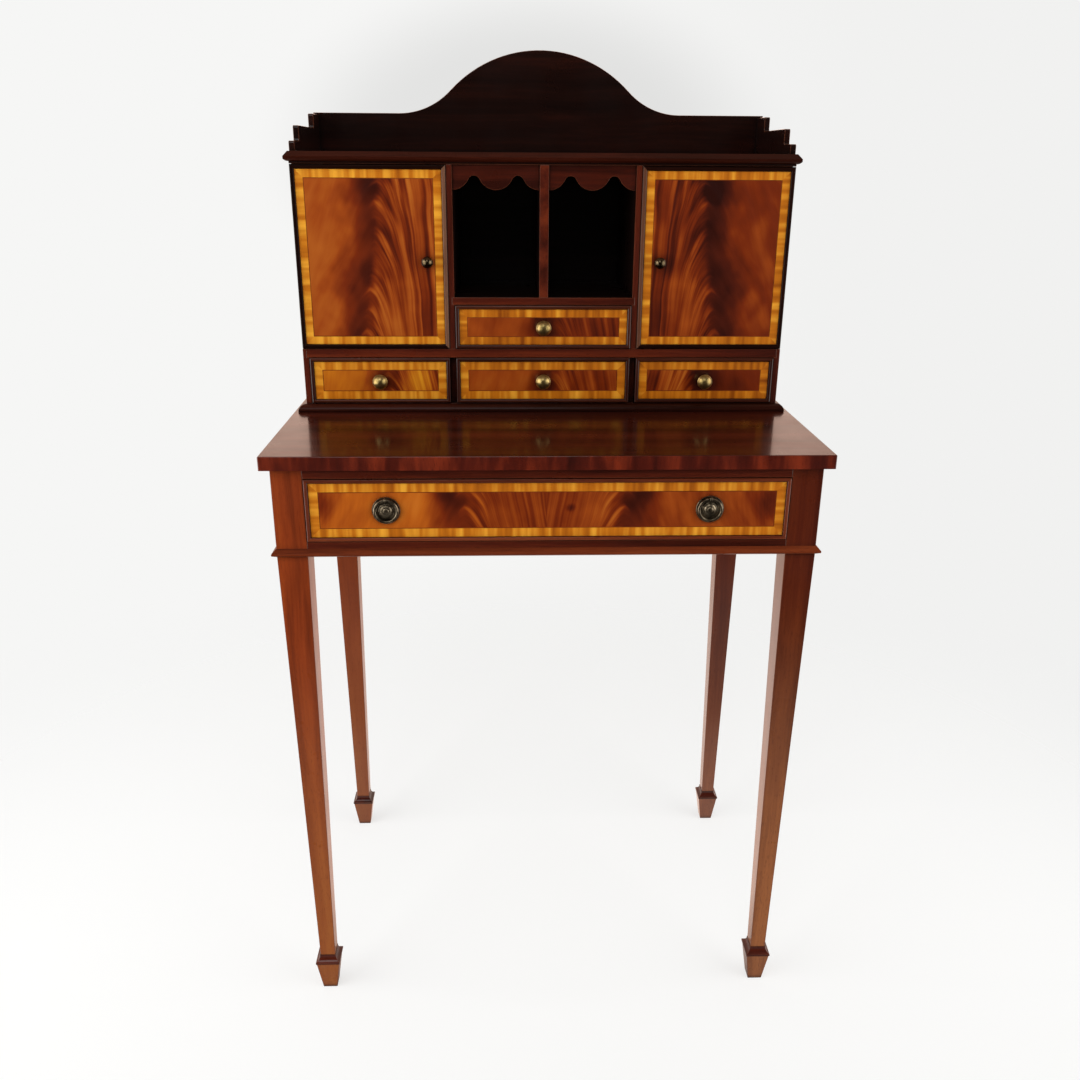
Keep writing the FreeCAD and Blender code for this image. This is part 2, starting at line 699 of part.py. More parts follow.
def drawer_kickers():
    """Strips under the top that keep the open drawer from tipping."""
    kickers = []
    for name, side in SIDES:
        body = new_body(f"Kicker_{name}")
        low, wide = span(side, RAIL_INSIDE - S.kicker_width, RAIL_INSIDE)
        corner = (low, -LEG_DEPTH_INSIDE, OPENING_TOP)
        block(body, corner, (wide, 2 * LEG_DEPTH_INSIDE, S.upper_rail_height))
        kickers.append(body)
    keep_group("drawer_kickers", kickers)


def stop_blocks():
    """Small blocks that stop the long drawer and the cupboard doors flush with the front."""
    blocks = []
    behind = DRAWER_FRONT + S.drawer_front_thickness + S.running_gap
    for name, side in SIDES:
        body = new_body(f"DrawerStop_{name}")
        low, wide = span(side, S.stop_spread - S.stop_length / 2, S.stop_spread + S.stop_length / 2)
        block(body, (low, behind, OPENING_BOTTOM), (wide, S.stop_width, S.stop_height))
        blocks.append(body)
    for name, side in SIDES:
        body = new_body(f"DoorStop_{name}")
        low, wide = span(side, PARTITION_OUTSIDE, PARTITION_OUTSIDE + S.door_stop_size)
        corner = (low, DOOR_BACK + S.running_gap, CASE_TOP - S.door_stop_size)
        block(body, corner, (wide, S.door_stop_size, S.door_stop_size))
        blocks.append(body)
    keep_group("stop_blocks", blocks)


# ---------------------------------------------------------------- long drawer

def drawer_front():
    """The long drawer's front, lapped over its sides, grooved for the bottom and drilled for the pulls."""
    bottom = OPENING_BOTTOM + S.drawer_gap
    top = OPENING_TOP - S.drawer_gap
    body = beaded_board("drawer_front", -DRAWER_HALF, DRAWER_HALF, bottom, top,
                        S.drawer_front_thickness, S.bead_width, DRAWER_FRONT)
    lap = S.drawer_front_thickness - S.drawer_lap
    for _, side in SIDES:
        low, wide = span(side, DRAWER_HALF - S.drawer_side_thickness, DRAWER_HALF)
        corner = (low, DRAWER_FRONT + S.drawer_lap, DRAWER_FLOOR)
        block(body, corner, (wide, lap, DRAWER_SIDE_TOP - DRAWER_FLOOR), cut=True)
        hole = (side * PULL_X, DRAWER_FRONT - CUT_MARGIN, PULL_HEIGHT)
        length = S.drawer_front_thickness + 2 * CUT_MARGIN
        rod(body, hole, S.shank_radius + S.fitting_gap, length, INWARDS, cut=True)
    groove_half = DRAWER_HALF - S.drawer_side_thickness + S.groove_depth
    corner = (-groove_half, DRAWER_FRONT + S.drawer_front_thickness - S.groove_depth,
              DRAWER_FLOOR + S.drawer_bottom_lift)
    block(body, corner, (2 * groove_half, S.groove_depth, S.drawer_bottom_thickness), cut=True)
    keep(body)
    strips = cockbead(-DRAWER_HALF, DRAWER_HALF, bottom, top, S.bead_width, DRAWER_FRONT)
    keep_group("drawer_cockbead", strips)


def drawer_side(label, side):
    """One side of the long drawer, grooved for the bottom."""
    body = new_body(label)
    start = DRAWER_FRONT + S.drawer_lap
    low, wide = span(side, DRAWER_HALF - S.drawer_side_thickness, DRAWER_HALF)
    block(body, (low, start, DRAWER_FLOOR), (wide, DRAWER_BACK - start, DRAWER_SIDE_TOP - DRAWER_FLOOR))
    inner = DRAWER_HALF - S.drawer_side_thickness
    low, wide = span(side, inner, inner + S.groove_depth)
    corner = (low, start, DRAWER_FLOOR + S.drawer_bottom_lift)
    block(body, corner, (wide, DRAWER_BACK - start, S.drawer_bottom_thickness), cut=True)
    keep(body)


def drawer_back():
    """The long drawer's back, between its sides and above its bottom."""
    body = new_body("drawer_back")
    half = DRAWER_HALF - S.drawer_side_thickness
    low = (-half, DRAWER_BACK - S.drawer_side_thickness, DRAWER_BOTTOM_TOP)
    block(body, low, (2 * half, S.drawer_side_thickness, DRAWER_SIDE_TOP - DRAWER_BOTTOM_TOP))
    keep(body)


def drawer_bottom():
    """The long drawer's bottom, held in the grooves of its sides and front."""
    body = new_body("drawer_bottom")
    half = DRAWER_HALF - S.drawer_side_thickness + S.groove_depth
    start = DRAWER_FRONT + S.drawer_front_thickness - S.groove_depth
    low = (-half, start, DRAWER_FLOOR + S.drawer_bottom_lift)
    block(body, low, (2 * half, DRAWER_BACK - start, S.drawer_bottom_thickness))
    keep(body)


def pull_plate(name, side):
    """A round back plate with a domed boss, an eye for the ring and a threaded shank."""
    body = new_body(name, (side * PULL_X, DRAWER_FRONT, PULL_HEIGHT), OUTWARDS)
    dome = S.boss_height - S.plate_thickness
    dome_radius = (S.boss_radius * S.boss_radius + dome * dome) / (2 * dome)
    tail = S.drawer_front_thickness + S.nut_thickness
    profile = (
        (0, -tail),
        (S.shank_radius, -tail),
        (S.shank_radius, 0),
        (S.plate_radius, 0),
        (S.plate_radius, S.plate_thickness),
        (S.boss_radius, S.plate_thickness, dome_radius, 1),
        (0, S.boss_height),
    )
    revolve(body, outline(body, "XZ_Plane", profile))
    block(body, (-S.eye_width / 2, S.ring_radius - RING_OUT, 0), (S.eye_width, 2 * RING_OUT, RING_OUT))
    rod(body, (-S.eye_width / 2, S.ring_radius, RING_OUT), RING_OUT, S.eye_width, ALONG_X)
    margin = S.eye_width / 2 + CUT_MARGIN
    rod(body, (-margin, S.ring_radius, RING_OUT), S.ring_wire + S.ring_gap, 2 * margin, ALONG_X, cut=True)
    return body


def pull_nut(name, side):
    """A round nut on a pull's shank, inside the drawer."""
    place_inside = DRAWER_FRONT + S.drawer_front_thickness
    body = new_body(name, (side * PULL_X, place_inside, PULL_HEIGHT), INWARDS)
    rod(body, ORIGIN, S.nut_radius, S.nut_thickness)
    rod(body, (0, 0, -CUT_MARGIN), S.shank_radius + S.fitting_gap, S.nut_thickness + 2 * CUT_MARGIN, cut=True)
    return body


def pull_ring(label, side):
    """A plain ring that hangs from the eye of its back plate."""
    ring = DOCUMENT.addObject("Part::Torus", label)
    bind(ring, "Radius1", S.ring_radius)
    bind(ring, "Radius2", S.ring_wire)
    place(ring, (side * PULL_X, DRAWER_FRONT - RING_OUT, PULL_HEIGHT), OUTWARDS)
    keep(ring, label)


def long_drawer():
    """The long drawer with its box and its two ring pulls."""
    drawer_front()
    for name, side in SIDES:
        drawer_side(f"drawer_side_{name}", side)
        pull_ring(f"pull_ring_{name}", side)
    drawer_back()
    drawer_bottom()
    fittings = [pull_plate(f"Plate_{name}", side) for name, side in SIDES]
    fittings += [pull_nut(f"Nut_{name}", side) for name, side in SIDES]
    keep_group("pull_plates", fittings)


# ---------------------------------------------------------------- cabinet

def cabinet_side(label, side):
    """One cabinet side: housed for the boards, rebated for the back and cut back where its door closes."""
    body = new_body(label)
    low, wide = span(side, CASE_INSIDE, CASE_HALF)
    block(body, (low, CASE_FRONT, CASE_BOTTOM), (wide, S.cabinet_depth, CASE_TOP - CASE_BOTTOM))
    corner = (low, CASE_FRONT, UPPER_ROW)
    block(body, corner, (wide, DOOR_SEAT - CASE_FRONT, CASE_TOP - UPPER_ROW), cut=True)
    low, deep = span(side, CASE_INSIDE, CASE_INSIDE + S.housing_depth)
    for bottom, height in ((CASE_BOTTOM, S.base_thickness), (DUST_BOARD, S.dust_board_thickness)):
        block(body, (low, CASE_FRONT, bottom), (deep, S.cabinet_depth, height), cut=True)
    rebate = (deep, S.case_back_thickness, CASE_TOP - CASE_BOTTOM)
    block(body, (low, PANEL_FRONT, CASE_BOTTOM), rebate, cut=True)
    for bottom in HINGE_BOTTOMS:
        inner, leaf = span(side, HINGE_X - KNUCKLE_ROOM - S.frame_leaf_width, CASE_HALF)
        block(body, (inner, DOOR_SEAT, bottom), (leaf, S.leaf_thickness, S.hinge_length), cut=True)
        inner, pocket = span(side, HINGE_X - KNUCKLE_ROOM, CASE_HALF)
        deep = HINGE_Y + KNUCKLE_ROOM - DOOR_SEAT
        block(body, (inner, DOOR_SEAT, bottom), (pocket, deep, S.hinge_length), cut=True)
    keep(body)


def housed_board(label, bottom, thickness):
    """A board across the whole cabinet, let into both sides."""
    body = new_body(label)
    half = CASE_INSIDE + S.housing_depth
    block(body, (-half, CASE_FRONT, bottom), (2 * half, PANEL_FRONT - CASE_FRONT, thickness))
    keep(body)


def partitions(label, front, bottom, top):
    """The pair of uprights on both sides of the cabinet's middle, in one of the two rows."""
    pair = []
    for name, side in SIDES:
        body = new_body(f"Partition_{name}")
        low, wide = span(side, MIDDLE_HALF, PARTITION_OUTSIDE)
        block(body, (low, front, bottom), (wide, PANEL_FRONT - front, top - bottom))
        if top.number > SHELF.number:
            low, deep = span(side, MIDDLE_HALF, MIDDLE_HALF + S.housing_depth)
            size = (deep, PANEL_FRONT - front, S.pigeonhole_floor_thickness)
            block(body, (low, front, SHELF), size, cut=True)
        pair.append(body)
    keep_group(label, pair)


def pigeonhole_floor():
    """The floor of the pigeonholes, let into the upper partitions."""
    body = new_body("pigeonhole_floor")
    half = MIDDLE_HALF + S.housing_depth
    size = (2 * half, PANEL_FRONT - CASE_FRONT, S.pigeonhole_floor_thickness)
    block(body, (-half, CASE_FRONT, SHELF), size)
    keep(body)


def pigeonhole_divider():
    """The upright board between the two pigeonholes."""
    body = new_body("pigeonhole_divider")
    size = (S.divider_thickness, PANEL_FRONT - CASE_FRONT, S.pigeonhole_height)
    block(body, (-S.divider_thickness / 2, CASE_FRONT, PIGEONHOLES), size)
    keep(body)


def valance(name, side):
    """A shaped valance: two narrow arches between three wide lobes, the outer two cut in half."""
    near = S.divider_thickness / 2
    pitch = (MIDDLE_HALF - near) / 4
    rise = S.valance_rise
    arch = S.arch_radius
    both = (pitch * pitch + rise * rise) / (2 * rise)
    lobe = both - arch
    share = arch / both
    step = pitch * share
    low = CASE_TOP - S.valance_height
    turn_height = low + rise - arch + (both - rise) * share
    start = span(side, near, MIDDLE_HALF)[0]
    corners = [(start, CASE_TOP), (start, low, lobe, 1)]
    for arch_number in (1, 3):
        middle = start + pitch * arch_number
        corners.append((middle - step, turn_height, arch, -1))
        corners.append((middle + step, turn_height, lobe, 1))
    corners.append((start + 4 * pitch, low))
    corners.append((start + 4 * pitch, CASE_TOP))
    body = new_body(name, (0, CASE_FRONT + S.valance_setback, 0))
    pad(body, outline(body, "XZ_Plane", corners), S.valance_thickness, backwards=True)
    return body


def cabinet_top():
    """The cabinet's top board, lying on its sides."""
    body = new_body("cabinet_top")
    block(body, (-CASE_HALF, CASE_FRONT, CASE_TOP), (2 * CASE_HALF, S.cabinet_depth, S.case_top_thickness))
    keep(body)


def cabinet_back():
    """The back panel, in the rebates of the sides."""
    body = new_body("cabinet_back")
    half = CASE_INSIDE + S.housing_depth
    corner = (-half, PANEL_FRONT, CASE_BOTTOM)
    block(body, corner, (2 * half, S.case_back_thickness, CASE_TOP - CASE_BOTTOM))
    keep(body)


def base_moulding():
    """A quarter-round moulding at the foot of the cabinet."""
    reach = S.base_bead_reach
    edge = S.base_bead_edge
    height = S.base_thickness - S.base_bead_drop
    rise = height - edge
    curve = ((reach * reach + rise * rise) / 2).root()
    profile = (
        (0, 0),
        (0, height, curve, 1),
        (-reach, edge),
        (-reach, 0),
    )
    three_sided("base_moulding", profile, reach, CASE_HALF, CASE_FRONT, CASE_BACK, CASE_BOTTOM)


def cornice_moulding():
    """A moulding round the cabinet top: a quarter round below, a small edge and a slope above."""
    reach = S.cornice_reach
    height = S.cornice_height
    swell = height / 4
    curve = (reach * reach + swell * swell) / (2 * swell)
    profile = (
        (0, 0),
        (0, height),
        (-reach / 10, height),
        (-reach, height / 2),
        (-reach, swell, curve, 1),
    )
    bottom = CASE_TOP + S.cornice_drop
    three_sided("cornice_moulding", profile, reach, CASE_HALF, CASE_FRONT, CASE_BACK, bottom)


def gallery_side(label, side):
    """One side of the gallery: three steps that rise towards the back."""
    front = CASE_FRONT + S.gallery_setback
    back = CASE_BACK - S.gallery_back_thickness
    curve = S.step_round
    corners = [(front, GALLERY)]
    starts = (front, front + S.gallery_middle_start, front + S.gallery_high_start)
    levels = [GALLERY + step for step in (S.gallery_low_step, S.gallery_middle_step, S.gallery_high_step)]
    for number, (start, level) in enumerate(zip(starts, levels)):
        if number:
            corners.append((start - curve, levels[number - 1], curve, 1))
            corners.append((start, levels[number - 1] + curve))
        corners.append((start, level - curve, curve, -1))
        corners.append((start + curve, level))
    corners += [(back, levels[-1]), (back, GALLERY)]
    low = span(side, CASE_HALF - S.gallery_thickness, CASE_HALF)[0]
    body = new_body(label, (low, 0, 0))
    pad(body, outline(body, "YZ_Plane", corners), S.gallery_thickness)
    keep(body)


def gallery_back():
    """The gallery's back board, with a crown that rises in two S-curves."""
    straight = GALLERY + S.gallery_height
    reach = S.arch_half_width
    rise = S.crown_rise
    crown = S.crown_radius
    both = (reach * reach + rise * rise) / (2 * rise)
    hollow = both - crown
    share = crown / both
    turn = reach * share
    turn_height = straight + rise - crown + (both - rise) * share
    corners = (
        (-CASE_HALF, GALLERY),
        (CASE_HALF, GALLERY),
        (CASE_HALF, straight),
        (reach, straight, hollow, -1),
        (turn, turn_height, crown, 1),
        (-turn, turn_height, hollow, -1),
        (-reach, straight),
        (-CASE_HALF, straight),
    )
    body = new_body("gallery_back", (0, CASE_BACK - S.gallery_back_thickness, 0))
    pad(body, outline(body, "XZ_Plane", corners), S.gallery_back_thickness, backwards=True)
    keep(body)


def cabinet():
    """The cabinet's carcase with its mouldings and gallery."""
    housed_board("cabinet_base", CASE_BOTTOM, S.base_thickness)
    housed_board("dust_board", DUST_BOARD, S.dust_board_thickness)
    for name, side in SIDES:
        cabinet_side(f"cabinet_side_{name}", side)
        gallery_side(f"gallery_side_{name}", side)
    partitions("lower_partitions", CASE_FRONT + S.partition_setback, LOWER_ROW, DUST_BOARD)
    partitions("upper_partitions", CASE_FRONT, UPPER_ROW, CASE_TOP)
    pigeonhole_floor()
    pigeonhole_divider()
    keep_group("valances", [valance(f"Valance_{name}", side) for name, side in SIDES])
    cabinet_top()
    cabinet_back()
    base_moulding()
    cornice_moulding()
    gallery_back()


# ---------------------------------------------------------------- cupboard doors

def door(name, side):
    """A cupboard door with its cockbead, cut for its hinges and drilled for its knob."""
    low, wide = span(side, DOOR_INSIDE, DOOR_OUTSIDE)
    board = beaded_board(f"DoorBoard_{name}", low, low + wide, DOOR_BOTTOM, DOOR_TOP,
                         S.door_thickness, S.door_bead_width, CASE_FRONT)
    for bottom in HINGE_BOTTOMS:
        inner, leaf = span(side, HINGE_X - KNUCKLE_ROOM - S.door_leaf_width, DOOR_OUTSIDE)
        corner = (inner, DOOR_BACK - S.leaf_thickness, bottom)
        block(board, corner, (leaf, S.leaf_thickness, S.hinge_length), cut=True)
        inner, pocket = span(side, HINGE_X - KNUCKLE_ROOM, DOOR_OUTSIDE)
        corner = (inner, HINGE_Y - KNUCKLE_ROOM, bottom)
        block(board, corner, (pocket, DOOR_BACK - HINGE_Y + KNUCKLE_ROOM, S.hinge_length), cut=True)
    spot = (side * (DOOR_INSIDE + S.door_knob_inset), CASE_FRONT, DOOR_MIDDLE - S.door_knob_drop)
    rod(board, spot, S.shank_radius + S.fitting_gap, S.shank_length + S.fitting_gap, INWARDS, cut=True)
    strips = cockbead(low, low + wide, DOOR_BOTTOM, DOOR_TOP, S.door_bead_width, CASE_FRONT)
    keep_group(f"door_{name}", [board] + strips)
    turned_knob(f"door_{name}_knob", S.door_knob_radius, S.door_knob_reach, spot)


def hinge_leaf(name, side, bottom, frame):
    """Half of a butt hinge: a flat leaf let into the wood and the knuckles that take the pin."""
    body = new_body(name, (side * HINGE_X, HINGE_Y, bottom))
    third = S.hinge_length / 3
    inner_knuckle = (third + S.knuckle_gap, third - 2 * S.knuckle_gap)
    outer_knuckles = ((Size.of(0), third), (2 * third, third))
    knuckles = outer_knuckles if frame else (inner_knuckle,)
    width = S.frame_leaf_width if frame else S.door_leaf_width
    lift = S.door_gap / 2 if frame else -S.door_gap / 2 - S.leaf_thickness
    low, wide = span(side, -KNUCKLE_ROOM - width, -KNUCKLE_ROOM)
    block(body, (low, lift, 0), (wide, S.leaf_thickness, S.hinge_length))
    for start, length in knuckles:
        low, wide = span(side, -KNUCKLE_ROOM, 0)
        block(body, (low, lift, start), (wide, S.leaf_thickness, length))
        rod(body, (0, 0, start), S.knuckle_radius, length)
    hole = S.pin_radius if frame else S.pin_radius + S.fitting_gap
    rod(body, (0, 0, -CUT_MARGIN), hole, S.hinge_length + 2 * CUT_MARGIN, cut=True)
    return body


def hinge_pin(name, side, bottom):
    """The pin of one butt hinge."""
    body = new_body(name, (side * HINGE_X, HINGE_Y, bottom))
    rod(body, ORIGIN, S.pin_radius, S.hinge_length)
    return body


def hinges():
    """Two butt hinges to each door, with their knuckles outside the cabinet sides."""
    places = [(f"{name}_{number}", side, bottom)
              for name, side in SIDES for number, bottom in enumerate(HINGE_BOTTOMS, start=1)]
    keep_group("hinge_frame_leaves", [hinge_leaf(f"FrameLeaf_{name}", side, bottom, True)
                                      for name, side, bottom in places])
    keep_group("hinge_pins", [hinge_pin(f"Pin_{name}", side, bottom) for name, side, bottom in places])
    for door_name, door_side in SIDES:
        keep_group(f"door_{door_name}_hinge_leaves",
                   [hinge_leaf(f"DoorLeaf_{name}", side, bottom, False)
                    for name, side, bottom in places if side == door_side])


# ---------------------------------------------------------------- small drawers

def small_drawer(name, left, right, floor, height):
    """A small drawer: a beaded front, two sides, a back, a bottom and a brass knob."""
    front_left = left + S.drawer_gap
    front_right = right - S.drawer_gap
    front_bottom = floor + S.drawer_gap
    front_top = floor + height - S.drawer_gap
    back = PANEL_FRONT - S.running_gap
    thick = S.small_side_thickness
    base = floor + S.running_gap
    side_top = front_top - S.small_side_drop
    tray = base + S.small_bottom_lift
    behind = CASE_FRONT + S.small_front_thickness
    groove = S.small_groove_depth
    board = beaded_board(f"FrontBoard_{name}", front_left, front_right, front_bottom, front_top,
                         S.small_front_thickness, S.bead_width, CASE_FRONT)
    grooved = (front_left + thick - groove, front_right - thick + groove)
    block(board, (grooved[0], behind - groove, tray),
          (grooved[1] - grooved[0], groove, S.small_bottom_thickness), cut=True)
    spot = ((front_left + front_right) / 2, CASE_FRONT, floor + height / 2)
    rod(board, spot, S.shank_radius + S.fitting_gap, S.shank_length + S.fitting_gap, INWARDS, cut=True)
    strips = cockbead(front_left, front_right, front_bottom, front_top, S.bead_width, CASE_FRONT)
    keep_group(f"{name}_drawer_front", [board] + strips)
    box = []
    sides = (("left", front_left, grooved[0]), ("right", front_right - thick, grooved[1] - groove))
    for side_name, outer, inner in sides:
        side = new_body(f"{name}_{side_name}")
        block(side, (outer, behind, base), (thick, back - behind, side_top - base))
        block(side, (inner, behind, tray), (groove, back - behind, S.small_bottom_thickness), cut=True)
        box.append(side)
    rear = new_body(f"{name}_back")
    rear_bottom = tray + S.small_bottom_thickness
    block(rear, (front_left + thick, back - thick, rear_bottom),
          (front_right - front_left - 2 * thick, thick, side_top - rear_bottom))
    bottom = new_body(f"{name}_bottom")
    block(bottom, (grooved[0], behind - groove, tray),
          (grooved[1] - grooved[0], back - behind + groove, S.small_bottom_thickness))
    keep_group(f"{name}_drawer_box", box + [rear, bottom])
    turned_knob(f"{name}_drawer_knob", S.knob_radius, S.knob_reach, spot)


def small_drawers():
    """The four small drawers: one under the pigeonholes and three in the lower row."""
    small_drawer("upper", -MIDDLE_HALF, MIDDLE_HALF, UPPER_ROW, S.upper_row_height)
    small_drawer("lower", -MIDDLE_HALF, MIDDLE_HALF, LOWER_ROW, S.lower_row_height)
    small_drawer("left", -CASE_INSIDE, -PARTITION_OUTSIDE, LOWER_ROW, S.lower_row_height)
    small_drawer("right", PARTITION_OUTSIDE, CASE_INSIDE, LOWER_ROW, S.lower_row_height)


# ---------------------------------------------------------------- the whole piece

def table():
    """The writing table under the cabinet."""
    writing_top()
    for end_name, end in ENDS:
        for side_name, side in SIDES:
            leg(f"leg_{end_name}_{side_name}", side, end)
    toe_collars()
    for name, side in SIDES:
        side_rail(f"side_rail_{name}", side)
    back_rail()
    front_rail("front_rail_bottom", APRON_BOTTOM, S.lower_rail_height)
    front_rail("front_rail_top", OPENING_TOP, S.upper_rail_height)
    apron_moulding()
    drawer_runners()
    drawer_kickers()
    stop_blocks()


def check_document():
    """Stops when any object failed or any sub-part has no sound shape."""
    failed = [item.Label for item in DOCUMENT.Objects if {"Invalid", "Error"} & set(item.State)]
    unsound = [node.Label for node in NODES if node.Shape.isNull() or not node.Shape.isValid()]
    if failed or unsound:
        raise RuntimeError(f"failed: {failed}, unsound: {unsound}")


def main():
    """Builds every sub-part and writes each to its own STEP file."""
    table()
    long_drawer()
    cabinet()
    for name, side in SIDES:
        door(name, side)
    hinges()
    small_drawers()
    DOCUMENT.recompute()
    check_document()
    os.makedirs("parts", exist_ok=True)
    for node in NODES:
        node.Shape.exportStep(f"parts/{node.Label}.step")
    print(f"{len(NODES)} sub-parts written")


main()
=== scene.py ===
"""Finishes the bonheur du jour: polished mahogany, flame veneer, satinwood banding, brass and bronze."""
import logging
import math
from dataclasses import dataclass
from enum import Enum
from functools import partial
from typing import Callable, Iterable, Optional, Union

import bpy
from mathutils import Matrix, Vector


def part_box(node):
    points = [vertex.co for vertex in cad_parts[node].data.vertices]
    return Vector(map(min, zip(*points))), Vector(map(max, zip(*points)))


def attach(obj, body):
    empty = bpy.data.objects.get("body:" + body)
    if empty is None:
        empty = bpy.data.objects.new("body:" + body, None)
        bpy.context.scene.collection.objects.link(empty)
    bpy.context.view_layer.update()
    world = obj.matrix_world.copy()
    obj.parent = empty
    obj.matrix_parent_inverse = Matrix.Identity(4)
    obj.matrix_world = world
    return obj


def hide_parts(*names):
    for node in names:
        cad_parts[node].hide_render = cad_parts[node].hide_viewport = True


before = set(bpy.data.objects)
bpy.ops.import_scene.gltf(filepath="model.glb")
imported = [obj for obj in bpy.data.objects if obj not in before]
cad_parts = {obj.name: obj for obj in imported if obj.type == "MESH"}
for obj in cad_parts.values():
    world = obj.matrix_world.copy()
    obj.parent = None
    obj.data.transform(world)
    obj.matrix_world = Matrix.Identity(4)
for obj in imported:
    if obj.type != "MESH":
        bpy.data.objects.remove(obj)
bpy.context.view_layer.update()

LOG = logging.getLogger("bonheur_du_jour")
MM = 0.001  # a millimetre, in metres
SLACK = 1e-4  # room for rounding beside an edge, in metres
MERGE = 1e-6  # corners nearer than this become one, in metres
LEVEL = 2e-5  # faces that differ by less than this in depth lie level, in metres
FACING = 0.99  # how squarely a face has to look forward to be part of a front
SOFT = {"interpolation_type": "SMOOTHSTEP"}  # eases both ends of a range

Piece = bpy.types.Object
Tree = bpy.types.NodeTree
Socket = bpy.types.NodeSocket
Material = bpy.types.Material
Face = bpy.types.MeshPolygon
Test = Callable[[Face], bool]


# ---------------------------------------------------------------- helpers

class Axis(Enum):
    """The direction along which the grain of a piece of wood runs."""

    X = 0
    Y = 1
    Z = 2

    def scale(self, stretch: float) -> tuple[float, float, float]:
        """Gives the scale that stretches a pattern along this axis."""
        return tuple(1 / stretch if axis is self else 1.0 for axis in Axis)


class Side(Enum):
    """A side of a front, as seen from in front of it."""

    LEFT = -1
    RIGHT = 1


def linear(code: str) -> tuple[float, float, float, float]:
    """Turns an sRGB hex colour into the linear colour that a shader takes.

    Args:
        code: The colour as six hex digits, such as "6b2a17".

    Returns:
        Red, green, blue and alpha.
    """
    values = [int(code[place:place + 2], 16) / 255 for place in (0, 2, 4)]
    bright = [value / 12.92 if value <= 0.04045 else ((value + 0.055) / 1.055) ** 2.4 for value in values]
    return (*bright, 1.0)


def fill(node: bpy.types.Node, inputs: dict) -> None:
    """Fills a node's inputs.

    Args:
        node: The node.
        inputs: What goes into each input, by its number or name: a socket or a plain value.
    """
    for name, value in inputs.items():
        if isinstance(value, Socket):
            node.id_data.links.new(value, node.inputs[name])
        else:
            node.inputs[name].default_value = value


def add(tree: Tree, kind: str, *values, output: str = "", stops: Iterable[tuple[float, str]] = (),
        **settings) -> Socket:
    """Adds a node with its settings and links.

    Args:
        tree: The node tree that takes the node.
        kind: The node's type after "ShaderNode", such as "Math".
        *values: What goes into its inputs in turn, a socket or a plain value, or a dict that names them.
        output: The name of the output that is wanted, where it isn't the first.
        stops: The places and colours of a colour ramp.
        **settings: Properties of the node itself.

    Returns:
        The output.
    """
    made = tree.nodes.new(f"ShaderNode{kind}")
    for name, value in settings.items():
        setattr(made, name, value)
    for number, (place, code) in enumerate(stops):
        elements = made.color_ramp.elements
        element = elements[number] if number < len(elements) else elements.new(place)
        element.position = place
        element.color = linear(code)
    for number, value in enumerate(values):
        fill(made, value if isinstance(value, dict) else {number: value})
    return next(socket for socket in made.outputs if socket.enabled and output in ("", socket.name))


def new_material(name: str) -> tuple[Material, Tree, bpy.types.Node]:
    """Starts a material.

    Args:
        name: The material's name.

    Returns:
        The material, its node tree and its shader node.
    """
    material = bpy.data.materials.new(name)
    material.use_nodes = True
    tree = material.node_tree
    return material, tree, tree.nodes["Principled BSDF"]


def millimetres(tree: Tree, shift: Iterable[float] = (0, 0, 0), scale: Iterable[float] = (1, 1, 1)) -> Socket:
    """Gives the place on the piece in millimetres.

    Args:
        tree: The node tree.
        shift: What is added to the place afterwards, in millimetres.
        scale: A stretch along each axis; -1 mirrors.

    Returns:
        The socket that carries the place.
    """
    place = add(tree, "TexCoord", output="Object")
    wide = tuple(value / MM for value in scale)
    return add(tree, "Mapping", {"Vector": place, "Location": tuple(shift), "Scale": wide})


def shaded_in_corners(tree: Tree, colour: Socket, reach_mm: float) -> Socket:
    """Paints shade into a wood's colour in the corners and gaps that ambient occlusion finds.

    Args:
        tree: The material's nodes.
        colour: The colour without the painted shade.
        reach_mm: How far from a corner the painted shade reaches.

    Returns:
        The darkened colour.
    """
    # painted shade: corners and gaps are darkened where ambient occlusion finds them
    unshaded, buried, deepest_shade = 0.92, 0.42, 0.9
    air = add(tree, "AmbientOcclusion", {"Distance": reach_mm * MM}, output="AO", samples=6)
    corner_shade = add(tree, "MapRange", air, unshaded, buried, 0.0, deepest_shade)
    return add(tree, "Mix", {"Factor": corner_shade, "A": colour, "B": linear("0a0302")}, data_type="RGBA")


# ---------------------------------------------------------------- finishes

